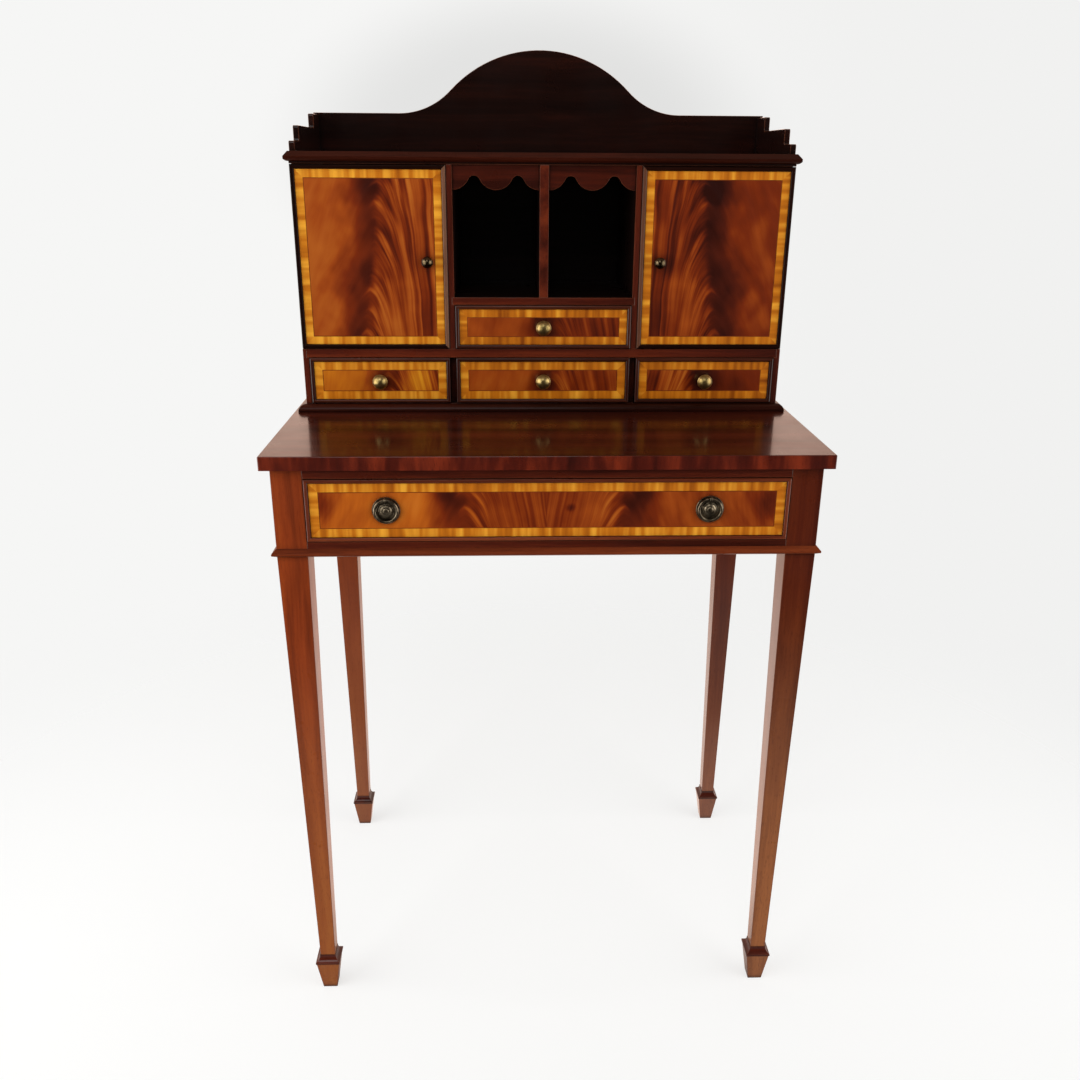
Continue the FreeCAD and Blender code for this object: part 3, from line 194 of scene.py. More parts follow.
@dataclass(frozen=True)
class Wood:
    """Solid wood, planed and French polished.

    Straight grain gives long soft streaks, the ribbon figure gives broad light and dark bands, and the
    open pores show as short dark flecks. Worn arrises are paler than the flat faces, partly as wear and
    partly as a painted highlight.
    """

    name: str
    dark: str
    middle: str
    light: str
    grain: Axis = Axis.X
    streak_mm: float = 3.2
    ribbon_mm: float = 24.0
    stretch: float = 26.0
    roughness: float = 0.3
    specular: float = 0.1
    coat: float = 1.0
    coat_roughness: float = 0.09
    # the arrises' paler colour: partly wear, partly a painted highlight
    worn: str = "6d3a24"
    worn_and_sheen_share: float = 0.55
    # painted light: the colour the wood pales into towards the floor, for the light the floor throws back up
    sunned: Optional[str] = None
    sunned_below_mm: float = 560.0
    board_step_mm: float = 613.0
    sway_mm: float = 150.0
    bend_mm: float = 9.0
    pore_mm: float = 0.9  # real pores are finer, and wouldn't show
    pore_stretch: float = 9.0
    pore_depth_mm: float = 0.12
    smudge_mm: float = 45.0
    # how far the painted shade in corners reaches
    corner_shade_reach_mm: float = 9.0

    def material(self) -> Material:
        """Builds the material.

        Returns:
            The material.
        """
        material, tree, shader = new_material(self.name)
        put = partial(add, tree)
        place = millimetres(tree)
        board = put("Attribute", attribute_name="board", output="Fac")
        step = put("Math", board, self.board_step_mm, operation="MULTIPLY")
        moved = put("VectorMath", place, step, operation="ADD")
        tone = self.tone(tree, moved)
        colour = put("ValToRGB", tone, stops=((0.22, self.dark), (0.5, self.middle), (0.78, self.light)))
        # painted light: the lower part is painted paler, standing in for light bounced up from the floor
        if self.sunned:
            height = put("SeparateXYZ", place, output="Z")
            bounce_share = put("MapRange", height, self.sunned_below_mm, 0.0, **SOFT)
            pale = put("Mix", {"Factor": tone, "A": linear(self.middle), "B": linear(self.sunned)},
                       data_type="RGBA")
            colour = put("Mix", {"Factor": bounce_share, "A": colour, "B": pale}, data_type="RGBA")
        flecks = put("VectorMath", moved, self.grain.scale(self.pore_stretch), operation="MULTIPLY")
        pores = put("TexNoise", {"Vector": flecks, "Scale": 1 / self.pore_mm, "Detail": 1.0})
        deep = put("MapRange", pores, 0.6, 0.72)
        flecked = put("Math", deep, 0.4, operation="MULTIPLY")
        colour = put("Mix", {"Factor": flecked, "A": colour, "B": linear(self.dark)}, data_type="RGBA")
        # paler arrises: partly wear, partly a painted highlight for the light the rounded edges catch
        arris = put("Attribute", attribute_name="worn", output="Fac")
        rubbed = put("Math", arris, self.worn_and_sheen_share, operation="MULTIPLY")
        colour = put("Mix", {"Factor": rubbed, "A": colour, "B": linear(self.worn)}, data_type="RGBA")
        smudge = put("TexNoise", {"Vector": place, "Scale": 1 / self.smudge_mm, "Detail": 3.0})
        gloss = put("MapRange", smudge, 0.3, 0.7, self.roughness - 0.04, self.roughness + 0.07)
        relief = put("Bump", {"Height": deep, "Strength": 0.12, "Distance": self.pore_depth_mm * MM},
                     invert=True)
        fill(shader, {"Base Color": shaded_in_corners(tree, colour, self.corner_shade_reach_mm), "Roughness": gloss,
                      "Normal": relief, "Specular IOR Level": self.specular, "Coat Weight": self.coat,
                      "Coat Roughness": self.coat_roughness})
        return material

    def tone(self, tree: Tree, place: Socket) -> Socket:
        """Draws the grain and the ribbon figure.

        Args:
            tree: The node tree.
            place: The place in the tree that the board was cut from, in millimetres.

        Returns:
            The tone, about 0.5 in the middle.
        """
        put = partial(add, tree)
        streaks = put("VectorMath", place, self.grain.scale(self.stretch), operation="MULTIPLY")
        sway = put("TexNoise", {"Vector": place, "Scale": 1 / self.sway_mm, "Detail": 1.0}, output="Color")
        bent = put("VectorMath", sway, (self.bend_mm,) * 3, streaks, operation="MULTIPLY_ADD")
        fine = put("TexNoise", {"Vector": bent, "Scale": 1 / self.streak_mm, "Detail": 3.0, "Roughness": 0.6})
        broad = put("TexNoise", {"Vector": bent, "Scale": 1 / self.ribbon_mm, "Detail": 2.0})
        mixed = put("Math", fine, 0.45, -0.225, operation="MULTIPLY_ADD")
        tone = put("Math", broad, mixed, operation="ADD")
        depth = put("Attribute", attribute_name="tone", output="Fac")
        return put("Math", tone, depth, operation="ADD")


@dataclass(frozen=True)
class Patch:
    """A soft paler or darker place in a leaf of veneer, measured from the foot of its plume."""

    across_mm: float
    up_mm: float
    wide_mm: float
    high_mm: float
    change: float


@dataclass(frozen=True)
class FlameVeneer:
    """Crotch mahogany veneer, cut where a branch leaves the trunk, and French polished.

    A dark plume runs up the leaf. On one side of it feathers droop away in curves that grow steeper, and
    reach into the plume with pointed ends. On the other side the wood is plainer and cloudy.
    """

    name: str
    plume_mm: float
    foot_mm: float
    feather_side: Side = Side.RIGHT
    lean: float = 0.15
    droop: float = 0.04
    spacing_mm: float = 11.0
    shade_mm: float = 52.0
    plain_tone: float = 0.62
    feather_tone: float = 0.46
    contrast: float = 0.32
    plume: float = 0.36
    strokes: float = 0.045
    fringe: float = 0.11
    crack_mm: float = 0.0
    crack: float = 0.24
    patches: tuple = ()
    seed: float = 0.0
    wander_mm: float = 70.0
    nudge_mm: float = 14.0
    ragged_mm: float = 9.0
    near_wide_mm: float = 34.0
    far_wide_mm: float = 60.0
    far_share: float = 2.8
    turn_mm: tuple = (16.0, 46.0)
    thread_wide_mm: float = 26.0
    thread_share: float = 1 / 3.2
    thread_edge_mm: tuple = (60.0, 14.0)
    cloud_mm: tuple = (38.0, 46.0)
    cloudiness: float = 0.1
    tip_mm: tuple = (-2.0, 12.0)
    stroke_mm: tuple = (12.0, 70.0)
    stroke_edge_mm: tuple = (-6.0, -30.0)
    shade_edge_mm: float = -6.0
    # how far the painted shade in corners reaches
    corner_shade_reach_mm: float = 15.0
    relief_mm: float = 0.1
    palette: tuple = ("280904", "471405", "6e2404", "93400c", "ac5c1a", "c47c3c")
    palette_places: tuple = (0.05, 0.22, 0.4, 0.58, 0.76, 0.95)

    def material(self) -> Material:
        """Builds the material.

        Returns:
            The material.
        """
        material, tree, shader = new_material(self.name)
        put = partial(add, tree)
        side = self.feather_side.value
        flat = millimetres(tree, (-self.plume_mm * side, 0.0, -self.foot_mm), (side, 1, 1))
        wander = put("TexNoise", {"Vector": flat, "W": self.seed, "Scale": 1 / self.wander_mm, "Detail": 1.0},
                     output="Color", noise_dimensions="4D")
        nudge = put("VectorMath", wander, (0.5, 0.5, 0.5), operation="SUBTRACT")
        place = put("VectorMath", nudge, (self.nudge_mm, 0.0, self.nudge_mm), flat, operation="MULTIPLY_ADD")
        tone, swing, threads = self.tone(tree, place)
        colour = put("ValToRGB", tone, stops=zip(self.palette_places, self.palette))
        relief = put("Bump", {"Height": threads, "Strength": 0.05, "Distance": self.relief_mm * MM})
        fill(shader, {"Base Color": shaded_in_corners(tree, colour, self.corner_shade_reach_mm),
                      "Roughness": put("MapRange", swing, -1.0, 1.0, 0.3, 0.42), "Normal": relief,
                      "Specular IOR Level": 0.1, "Coat Weight": 1.0, "Coat Roughness": 0.09})
        return material

    def cloud(self, tree: Tree, place: Socket, size_mm: tuple, number: float, detail: float) -> Socket:
        """Draws soft shapes of a given width and height.

        Args:
            tree: The node tree.
            place: The place, in millimetres.
            size_mm: The width and height of the largest shapes.
            number: Tells this pattern from the leaf's others.
            detail: How many finer layers it has.

        Returns:
            The pattern, from -1 to 1.
        """
        scale = (1 / size_mm[0], 1.0, 1 / size_mm[1])
        scaled = add(tree, "VectorMath", place, scale, operation="MULTIPLY")
        looks = {"Vector": scaled, "W": self.seed + number, "Scale": 1.0, "Detail": detail}
        made = add(tree, "TexNoise", looks, noise_dimensions="4D")
        return add(tree, "MapRange", made, 0.25, 0.75, -1.0, 1.0)

    def tone(self, tree: Tree, place: Socket) -> tuple[Socket, Socket, Socket]:
        """Draws the figure of the leaf.

        Args:
            tree: The node tree.
            place: The place from the foot of the plume, with the feathers towards +X, in millimetres.

        Returns:
            The tone, the swing of the feathers from -1 to 1, and the fine threads.
        """
        put = partial(add, tree)
        parts = put("SeparateXYZ", place).node.outputs
        up = parts["Z"]
        across = put("Math", up, -self.lean, parts["X"], operation="MULTIPLY_ADD")
        distance = put("Math", across, operation="ABSOLUTE")
        squared = put("Math", distance, 2.0, operation="POWER")
        fallen = put("Math", squared, self.droop, up, operation="MULTIPLY_ADD")
        level = put("Math", distance, 0.45, fallen, operation="MULTIPLY_ADD")
        along = put("CombineXYZ", {"X": across, "Z": level})
        near = self.cloud(tree, along, (self.near_wide_mm, self.spacing_mm), 4.0, 1.5)
        far = self.cloud(tree, along, (self.far_wide_mm, self.spacing_mm * self.far_share), 5.0, 2.0)
        away = put("MapRange", distance, *self.turn_mm, **SOFT)
        swing = put("Mix", {"Factor": away, "A": near, "B": far})
        thread_mm = (self.thread_wide_mm, self.spacing_mm * self.thread_share)
        threads = self.cloud(tree, along, thread_mm, 9.0, 1.0)
        clouds = self.cloud(tree, place, self.cloud_mm, 2.0, 2.0)
        ragged = put("Math", swing, self.ragged_mm, across, operation="MULTIPLY_ADD")
        feathered = put("MapRange", ragged, *self.tip_mm, **SOFT)
        mean = put("MapRange", feathered, 0.0, 1.0, self.plain_tone, self.feather_tone)
        weight = put("MapRange", feathered, 0.0, 1.0, 0.03, self.contrast)
        tone = put("Math", swing, weight, mean, operation="MULTIPLY_ADD")
        tone = put("Math", clouds, self.cloudiness, tone, operation="MULTIPLY_ADD")
        turned = put("CombineXYZ", {"X": put("Math", up, -0.5, across, operation="MULTIPLY_ADD"),
                                    "Z": put("Math", across, 0.5, up, operation="MULTIPLY_ADD")})
        slanted = self.cloud(tree, turned, self.stroke_mm, 7.0, 2.0)
        plain = put("MapRange", across, *self.stroke_edge_mm, **SOFT)
        strokes = put("Math", slanted, plain, operation="MULTIPLY")
        tone = put("Math", strokes, self.strokes, tone, operation="MULTIPLY_ADD")
        beside = put("Math", put("MapRange", distance, *self.thread_edge_mm, **SOFT), feathered,
                     operation="MULTIPLY")
        fringe = put("Math", threads, beside, operation="MULTIPLY")
        tone = put("Math", fringe, self.fringe, tone, operation="MULTIPLY_ADD")
        cloudy = put("Math", clouds, -self.ragged_mm, across, operation="MULTIPLY_ADD")
        shade = put("Math", put("MapRange", cloudy, -self.shade_mm, self.shade_edge_mm, **SOFT),
                    put("MapRange", ragged, 12.0, -4.0, **SOFT), operation="MULTIPLY")
        tone = put("Math", shade, -self.plume, tone, operation="MULTIPLY_ADD")
        if self.crack_mm:
            gap = put("Math", put("Math", level, self.crack_mm, operation="SUBTRACT"), operation="ABSOLUTE")
            crack = put("Math", put("MapRange", gap, 10.0, 1.0, **SOFT),
                        put("MapRange", across, 2.0, 12.0, **SOFT), operation="MULTIPLY")
            tone = put("Math", crack, -self.crack, tone, operation="MULTIPLY_ADD")
        for patch in self.patches:
            centred = put("VectorMath", place, (patch.across_mm, 0.0, patch.up_mm), operation="SUBTRACT")
            rounded = put("VectorMath", centred, (1 / patch.wide_mm, 0.0, 1 / patch.high_mm),
                          operation="MULTIPLY")
            reach = put("VectorMath", rounded, operation="LENGTH")
            soft = put("MapRange", reach, 1.6, 0.2, **SOFT)
            tone = put("Math", soft, patch.change, tone, operation="MULTIPLY_ADD")
        return tone, swing, threads


@dataclass(frozen=True)
class Satinwood:
    """Satinwood crossbanding: short grain across the band, pieced from leaves of changing colour."""

    name: str
    grain: Axis
    tone: float = 0.0
    dark: str = "7e3a06"
    middle: str = "b8680f"
    light: str = "e09c2c"
    leaf_mm: float = 7.5
    line_mm: float = 2.2
    drift_mm: float = 70.0
    stretch: float = 14.0
    relief_mm: float = 0.1
    # how far the painted shade in corners reaches
    corner_shade_reach_mm: float = 8.0

    def material(self) -> Material:
        """Builds the material.

        Returns:
            The material.
        """
        material, tree, shader = new_material(self.name)
        put = partial(add, tree)
        place = millimetres(tree)
        cells = put("VectorMath", place, self.grain.scale(self.stretch), operation="MULTIPLY")
        leaves = put("TexNoise", {"Vector": cells, "Scale": 1 / self.leaf_mm, "Detail": 1.0})
        lines = put("TexNoise", {"Vector": cells, "Scale": 1 / self.line_mm, "Detail": 1.0})
        drift = put("TexNoise", {"Vector": place, "Scale": 1 / self.drift_mm, "Detail": 1.0})
        fine = put("Math", lines, 0.12, self.tone - 0.04, operation="MULTIPLY_ADD")
        slow = put("Math", drift, 0.3, -0.15, operation="MULTIPLY_ADD")
        tone = put("Math", put("Math", leaves, fine, operation="ADD"), slow, operation="ADD")
        colour = put("ValToRGB", tone, stops=((0.14, self.dark), (0.48, self.middle), (0.8, self.light)))
        relief = put("Bump", {"Height": lines, "Strength": 0.05, "Distance": self.relief_mm * MM})
        fill(shader, {"Base Color": shaded_in_corners(tree, colour, self.corner_shade_reach_mm),
                      "Roughness": put("MapRange", leaves, 0.0, 1.0, 0.28, 0.42), "Normal": relief,
                      "Specular IOR Level": 0.1, "Coat Weight": 0.9, "Coat Roughness": 0.1})
        return material


def satinwood(name: str, tone: float) -> tuple[Satinwood, Satinwood]:
    """Makes one front's crossbanding, with its grain along X and along Z.

    Args:
        name: The front's name.
        tone: How much paler, or darker below 0, it is than the middle colour.

    Returns:
        The two finishes.
    """
    return (Satinwood(f"satinwood_{name}_x", Axis.X, tone), Satinwood(f"satinwood_{name}_z", Axis.Z, tone))


@dataclass(frozen=True)
class AgedMetal:
    """Cast and turned brass or bronze, rubbed bright where it is touched and tarnished in the hollows."""

    name: str
    bright: str
    tarnish: str
    roughness: float = 0.32
    tarnish_share: float = 0.5
    blotch_mm: float = 7.0
    pit_mm: float = 0.8
    pit_depth_mm: float = 0.15

    def material(self) -> Material:
        """Builds the material.

        Returns:
            The material.
        """
        material, tree, shader = new_material(self.name)
        put = partial(add, tree)
        place = millimetres(tree)
        blotches = put("TexNoise", {"Vector": place, "Scale": 1 / self.blotch_mm, "Detail": 3.0,
                                    "Roughness": 0.55})
        pits = put("TexNoise", {"Vector": place, "Scale": 1 / self.pit_mm, "Detail": 2.0})
        share = put("MapRange", blotches, 0.35, 0.65, self.tarnish_share - 0.3, self.tarnish_share + 0.3)
        colour = put("Mix", {"Factor": share, "A": linear(self.bright), "B": linear(self.tarnish)},
                     data_type="RGBA")
        gloss = put("MapRange", blotches, 0.0, 1.0, self.roughness - 0.08, self.roughness + 0.16)
        relief = put("Bump", {"Height": pits, "Strength": 0.06, "Distance": self.pit_depth_mm * MM})
        fill(shader, {"Base Color": colour, "Roughness": gloss, "Normal": relief, "Metallic": 1.0})
        return material


Finish = Union[Wood, FlameVeneer, Satinwood, AgedMetal]


class Finishes:
    """Keeps one material for each finish, however often it is asked for."""

    def __init__(self) -> None:
        """Starts with no material made."""
        self.made: dict = {}

    def of(self, finish: Finish) -> Material:
        """Gives a finish's material, made the first time.

        Args:
            finish: The finish.

        Returns:
            Its material.
        """
        if finish not in self.made:
            self.made[finish] = finish.material()
        return self.made[finish]


FINISHES = Finishes()


def each_way(name: str, **looks) -> tuple[Wood, Wood, Wood]:
    """Makes one wood with its grain along X, Y and Z.

    Args:
        name: The wood's name.
        **looks: The other fields of Wood.

    Returns:
        The three finishes, in the order of the axes.
    """
    return tuple(Wood(name=f"{name}_{axis.name.lower()}", grain=axis, **looks) for axis in Axis)


CARCASE = each_way("polished_mahogany", dark="2a0b05", middle="4a180b", light="682812", coat=0.6)
# painted light: copies of one wood, lighter on the left legs and darker on the right, for the light from the
# left
LEGS_WITH_PAINTED_LIGHT = {
    "front_left": each_way("mahogany_leg_front_left", dark="5c220c", middle="823412", light="984618",
                           sunned="ac6c30", coat=0.6),
    "front_right": each_way("mahogany_leg_front_right", dark="380f05", middle="4c190a", light="60250e",
                            sunned="c4783e", sunned_below_mm=650.0),
    "back_left": each_way("mahogany_leg_back_left", dark="56220c", middle="743012", light="863c18",
                          sunned="88502c", coat=0.6),
    "back_right": each_way("mahogany_leg_back_right", dark="3e140a", middle="521e0e", light="622812",
                           sunned="8e5434")}
GALLERY = each_way("polished_mahogany_dark", dark="0c0302", middle="190704", light="2a0e07", coat=0.7)
TOP = each_way("polished_mahogany_top", dark="220a05", middle="38130a", light="4c1c0f", specular=0.02,
               coat=0.3, coat_roughness=0.11)
# painted shade: near-black wood for the inside of the cabinet and its deep recesses
INSIDE_SHADE = each_way("dusty_mahogany_inside", dark="0b0403", middle="160906", light="241009", coat=0.3,
                    coat_roughness=0.3)
MOULDING = each_way("moulded_mahogany", dark="180602", middle="2c0d05", light="40160a", worn="6a3a2a",
                    specular=0.04, coat=0.14, coat_roughness=0.2)
ASTRAGAL = each_way("astragal_mahogany", dark="3e150a", middle="662a12", light="803c1c", worn="8c4c2a",
                    specular=0.04, coat=0.06, coat_roughness=0.25)
# painted shade: a near-black bead wood for the beads that turn away from the light
SHADED_BEAD = each_way("cockbead_darkened", dark="0c0402", middle="1a0804", light="2c0f07", worn="3c1a10",
                     specular=0.03, coat=0.06, coat_roughness=0.25)
# painted highlight: the doors' beads, and the rest of the door boards outside the veneer, are painted pale
# greyish for the light the inner beads catch
LIT_BEAD = each_way("cockbead_rubbed", dark="3c2014", middle="5e3a28", light="785640", worn="947458",
                       specular=0.05, coat=0.22, coat_roughness=0.25)
SMALL_BEAD = each_way("cockbead_small", dark="1e0a06", middle="38160c", light="502616", worn="8a6654",
                      specular=0.06, coat=0.6, coat_roughness=0.15)
BEAD = each_way("cockbead_mahogany", dark="36130a", middle="622a16", light="824022", worn="9c6044",
                specular=0.06, coat=0.45, coat_roughness=0.17)
LINING = each_way("drawer_lining_oak", dark="6b4526", middle="97683b", light="b98d58", streak_mm=2.2,
                  ribbon_mm=40.0, roughness=0.55, specular=0.35, coat=0.05, coat_roughness=0.4, worn="b08a5c")
PINE = each_way("stained_pine", dark="3f2414", middle="6a4325", light="8a5f38", streak_mm=4.0,
                ribbon_mm=18.0, roughness=0.6, specular=0.3, coat=0.0, coat_roughness=0.4, worn="8a6540")
EDGE_BANDING = Wood(name="crossbanded_edge", dark="2a0a06", middle="48140a", light="742812", grain=Axis.Z,
                    streak_mm=9.0, ribbon_mm=20.0, stretch=6.0)
STRINGING = Wood(name="rosewood_stringing", dark="4a1c08", middle="6a2e0e", light="824014", streak_mm=1.5,
                 ribbon_mm=8.0)
BRASS = AgedMetal(name="aged_brass", bright="bfa66c", tarnish="6a5a30")
BRONZE = AgedMetal(name="antique_bronze", bright="a2937a", tarnish="2a241b", tarnish_share=0.62)
DARK_BRONZE = AgedMetal(name="darkened_bronze", bright="75654a", tarnish="1a130c", roughness=0.2,
                        tarnish_share=0.66)


# ---------------------------------------------------------------- bench work

def only(piece: Piece) -> None:
    """Makes a piece the only one selected, and the active one.

    Args:
        piece: The piece.
    """
    bpy.ops.object.select_all(action="DESELECT")
    piece.select_set(True)
    bpy.context.view_layer.objects.active = piece


def pick(piece: Piece, test: Test) -> int:
    """Selects a piece's faces in edit mode.

    Args:
        piece: The piece, which is the active object.
        test: Says whether a face is wanted.

    Returns:
        How many faces are selected.
    """
    bpy.ops.object.mode_set(mode="EDIT")
    bpy.ops.mesh.select_mode(type="FACE")
    bpy.ops.mesh.select_all(action="DESELECT")
    bpy.ops.object.mode_set(mode="OBJECT")
    count = 0
    for face in piece.data.polygons:
        face.select = test(face)
        count += face.select
    bpy.ops.object.mode_set(mode="EDIT")
    return count


def solid_numbers(mesh: bpy.types.Mesh) -> list[int]:
    """Numbers the separate solids of a node, whose triangles follow each other solid by solid.

    Args:
        mesh: The node's mesh.

    Returns:
        For each triangle, the number of the solid it belongs to.
    """
    corners = [tuple(round(value * 1e6) for value in vertex.co) for vertex in mesh.vertices]
    loose: dict = {}
    numbers = []
    current = 0
    for face in mesh.polygons:
        ring = [corners[index] for index in face.vertices]
        numbers.append(current)
        for start, end in zip(ring, ring[1:] + ring[:1]):
            if loose.get((end, start), 0):
                loose[(end, start)] -= 1
                if not loose[(end, start)]:
                    del loose[(end, start)]
            else:
                loose[(start, end)] = loose.get((start, end), 0) + 1
        if not loose:
            current += 1
    return numbers


def mark(piece: Piece, name: str, kind: str, values: list) -> None:
    """Marks each face of a piece with a number that its finish can read.

    Args:
        piece: The piece.
        name: The attribute's name.
        kind: "INT" or "FLOAT".
        values: The number of each face.
    """
    made = piece.data.attributes.new(name, kind, "FACE")
    made.data.foreach_set("value", values)


def give(piece: Piece, finishes: Iterable[Finish]) -> int:
    """Gives a piece more finishes.

    Args:
        piece: The piece.
        finishes: The finishes, each of which gets a slot.

    Returns:
        The slot of the first.
    """
    first = len(piece.data.materials)
    for finish in finishes:
        piece.data.materials.append(FINISHES.of(finish))
    return first


def working_copy(node: str) -> Piece:
    """Copies a node and closes up the triangles of each of its solids.

    Each face carries its solid's number in the attribute "solid".

    Args:
        node: The node's name.

    Returns:
        The copy, at the origin like the node.
    """
    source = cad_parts[node]
    numbers = solid_numbers(source.data)
    piece = bpy.data.objects.new(f"{node}_finished", source.data.copy())
    piece.data.name = piece.name
    bpy.context.scene.collection.objects.link(piece)
    piece.data.materials.clear()
    mark(piece, "solid", "INT", numbers)
    only(piece)
    bpy.ops.mesh.customdata_custom_splitnormals_clear()
    for number in range(max(numbers) + 1):
        values = [item.value for item in piece.data.attributes["solid"].data]
        pick(piece, lambda face: values[face.index] == number)
        bpy.ops.mesh.remove_doubles(threshold=MERGE)
        bpy.ops.object.mode_set(mode="OBJECT")
    return piece


def soften(piece: Piece, width_mm: float, segments: int = 2) -> None:
    """Rubs down the sharp arrises, and marks them in a face attribute for a paler colour, partly wear and
    partly a painted highlight.

    Args:
        piece: The piece.
        width_mm: How wide the rubbed arris is.
        segments: How many faces round it.
    """
    only(piece)
    bpy.ops.object.mode_set(mode="EDIT")
    bpy.ops.mesh.select_all(action="SELECT")
    bpy.ops.mesh.dissolve_limited(angle_limit=math.radians(0.5))
    bpy.ops.object.mode_set(mode="OBJECT")
    rounding = piece.modifiers.new("arris", "BEVEL")
    rounding.width = width_mm * MM
    rounding.segments = segments
    rounding.limit_method = "ANGLE"
    rounding.angle_limit = math.radians(40)
    rounding.material = 1
    while len(piece.data.materials) < 2:
        piece.data.materials.append(None)
    bpy.ops.object.modifier_apply(modifier=rounding.name)
    mark(piece, "worn", "FLOAT", [float(face.material_index == 1) for face in piece.data.polygons])
    piece.data.materials.clear()


def solid_boxes(piece: Piece) -> dict[int, tuple[Vector, Vector]]:
    """Measures each solid of a piece.

    Args:
        piece: The piece.

    Returns:
        The lowest and highest corner of each solid, by its number.
    """
    boxes: dict = {}
    numbers = piece.data.attributes["solid"].data
    for face in piece.data.polygons:
        number = numbers[face.index].value
        for index in face.vertices:
            point = piece.data.vertices[index].co
            if number not in boxes:
                boxes[number] = (point.copy(), point.copy())
            low, high = boxes[number]
            for axis in range(3):
                low[axis] = min(low[axis], point[axis])
                high[axis] = max(high[axis], point[axis])
    return boxes


class Workshop:
    """What all the sub-assemblies share: taking a node in hand, finishing it and putting it back."""

    def finish(self, piece: Piece, body: str, slot: str, *nodes: str) -> Piece:
        """Hands a finished piece over to the body it moves with.

        Args:
            piece: The piece.
            body: The body's name.
            slot: The record's material slot; not used.
            *nodes: The nodes that the piece stands for.

        Returns:
            The piece.
        """
        only(piece)
        bpy.ops.object.shade_smooth_by_angle(angle=math.radians(35))
        levelled = piece.modifiers.new("flat_faces", "WEIGHTED_NORMAL")
        levelled.keep_sharp = True
        bpy.ops.object.modifier_apply(modifier=levelled.name)
        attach(piece, body)
        if nodes:
            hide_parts(*nodes)
        LOG.info("%s: %d faces", piece.name, len(piece.data.polygons))
        return piece

    def wooden(self, node: str, body: str, woods: tuple[Wood, Wood, Wood], slot: str = "mahogany",
               arris_mm: float = 0.6, tone: float = 0.0,
               rule: Optional[Callable[[Vector], Axis]] = None) -> Piece:
        """Finishes a node of one or more boards, each with its grain along its length.

        Args:
            node: The node's name.
            body: The body it moves with.
            woods: The wood, with its grain each way.
            slot: The record's material slot.
            arris_mm: The width of the rubbed arrises; 0 leaves them as they are.
            tone: How much paler, or darker below 0, its boards are than the wood's middle colour.
            rule: Gives the grain for a point, where a board's length doesn't.

        Returns:
            The finished piece.
        """
        piece = working_copy(node)
        if arris_mm:
            soften(piece, arris_mm)
        self.grain_along(piece, woods, tone, rule)
        return self.finish(piece, body, slot, node)

    def grain_along(self, piece: Piece, woods: tuple[Wood, Wood, Wood], tone: float = 0.0,
                    rule: Optional[Callable[[Vector], Axis]] = None) -> None:
        """Gives each board of a piece its wood and its own place in the tree.

        Args:
            piece: The piece.
            woods: The wood, with its grain each way.
            tone: How much paler, or darker below 0, its boards are than the wood's middle colour.
            rule: Gives the grain for a point, where a board's length doesn't.
        """
        ways = {}
        boxes = solid_boxes(piece)
        for number, (low, high) in boxes.items():
            sides = high - low
            ways[number] = max(range(3), key=lambda axis: sides[axis])
        piece.data.materials.clear()
        give(piece, woods)
        numbers = [item.value for item in piece.data.attributes["solid"].data]
        start = sum(ord(letter) * (place + 1) for place, letter in enumerate(piece.name)) % 97 / 97
        boards = [(start + 0.377 * number) % 1.0 for number in numbers]
        mark(piece, "board", "FLOAT", boards)
        mark(piece, "tone", "FLOAT", [tone + 0.08 * (board - 0.5) for board in boards])
        for face in piece.data.polygons:
            face.material_index = rule(face.center).value if rule else ways[numbers[face.index]]


def knob_profile(radius: float, reach: float, shank: float) -> tuple:
    """Draws half a turned knob: shank, foot, waist, flare and a domed head with a fine turned line.

    Args:
        radius: The head's radius, in millimetres.
        reach: How far the knob stands out from the wood, in millimetres.
        shank: How far its screwed shank reaches back, in millimetres.

    Returns:
        Pairs of radius and reach.
    """
    foot, waist, brim = radius * 0.62, radius * 0.45, reach * 0.62
    dome = reach - brim
    ball = (radius * radius + dome * dome) / (2 * dome)
    points = [(0.0, -shank), (2.0, -shank), (2.0, 0.0), (foot, 0.0), (foot, reach * 0.05),
              (foot * 0.97, reach * 0.08), (foot * 0.9, reach * 0.1), (waist * 1.14, reach * 0.13),
              (waist * 1.03, reach * 0.19),
              (waist, reach * 0.26), (waist * 1.08, reach * 0.34), (waist * 1.34, reach * 0.41),
              (radius * 0.78, reach * 0.48), (radius * 0.92, reach * 0.54), (radius * 0.98, reach * 0.59),
              (radius, brim)]
    widest = math.asin(radius / ball)
    for step in range(11, 0, -1):
        angle = widest * step / 12
        sunk = 0.3 if step == 10 else 0.0
        points.append(((ball - sunk) * math.sin(angle), reach - ball + (ball - sunk) * math.cos(angle)))
    return (*points, (0.0, reach))


def plate_profile(radius: float, boss: float, height: float, tail: float) -> tuple:
    """Draws half a ring pull's back plate: a rolled rim, a sunk ground and a boss with turned lines.

    Args:
        radius: The plate's radius, in millimetres.
        boss: The boss's radius, in millimetres.
        height: How far the boss stands out, in millimetres.
        tail: How far the screwed shank reaches back, in millimetres.

    Returns:
        Pairs of radius and reach.
    """
    rise = height - 1.2
    ball = (boss * boss + rise * rise) / (2 * rise)
    points = [(0.0, -tail), (2.0, -tail), (2.0, 0.0), (radius, 0.0), (radius, 0.7), (radius - 0.3, 1.08),
              (radius - 0.7, 1.2), (radius - 1.2, 1.08), (radius - 1.5, 0.72), (boss + 1.3, 0.72),
              (boss + 0.9, 1.1), (boss + 0.5, 1.2), (boss, 1.05)]
    widest = math.asin(boss / ball)
    for step in range(13, 0, -1):
        angle = widest * step / 14
        sunk = 0.4 if step in (11, 5) else 0.0
        points.append(((ball - sunk) * math.sin(angle), height - ball + (ball - sunk) * math.cos(angle)))
    return (*points, (0.0, height))


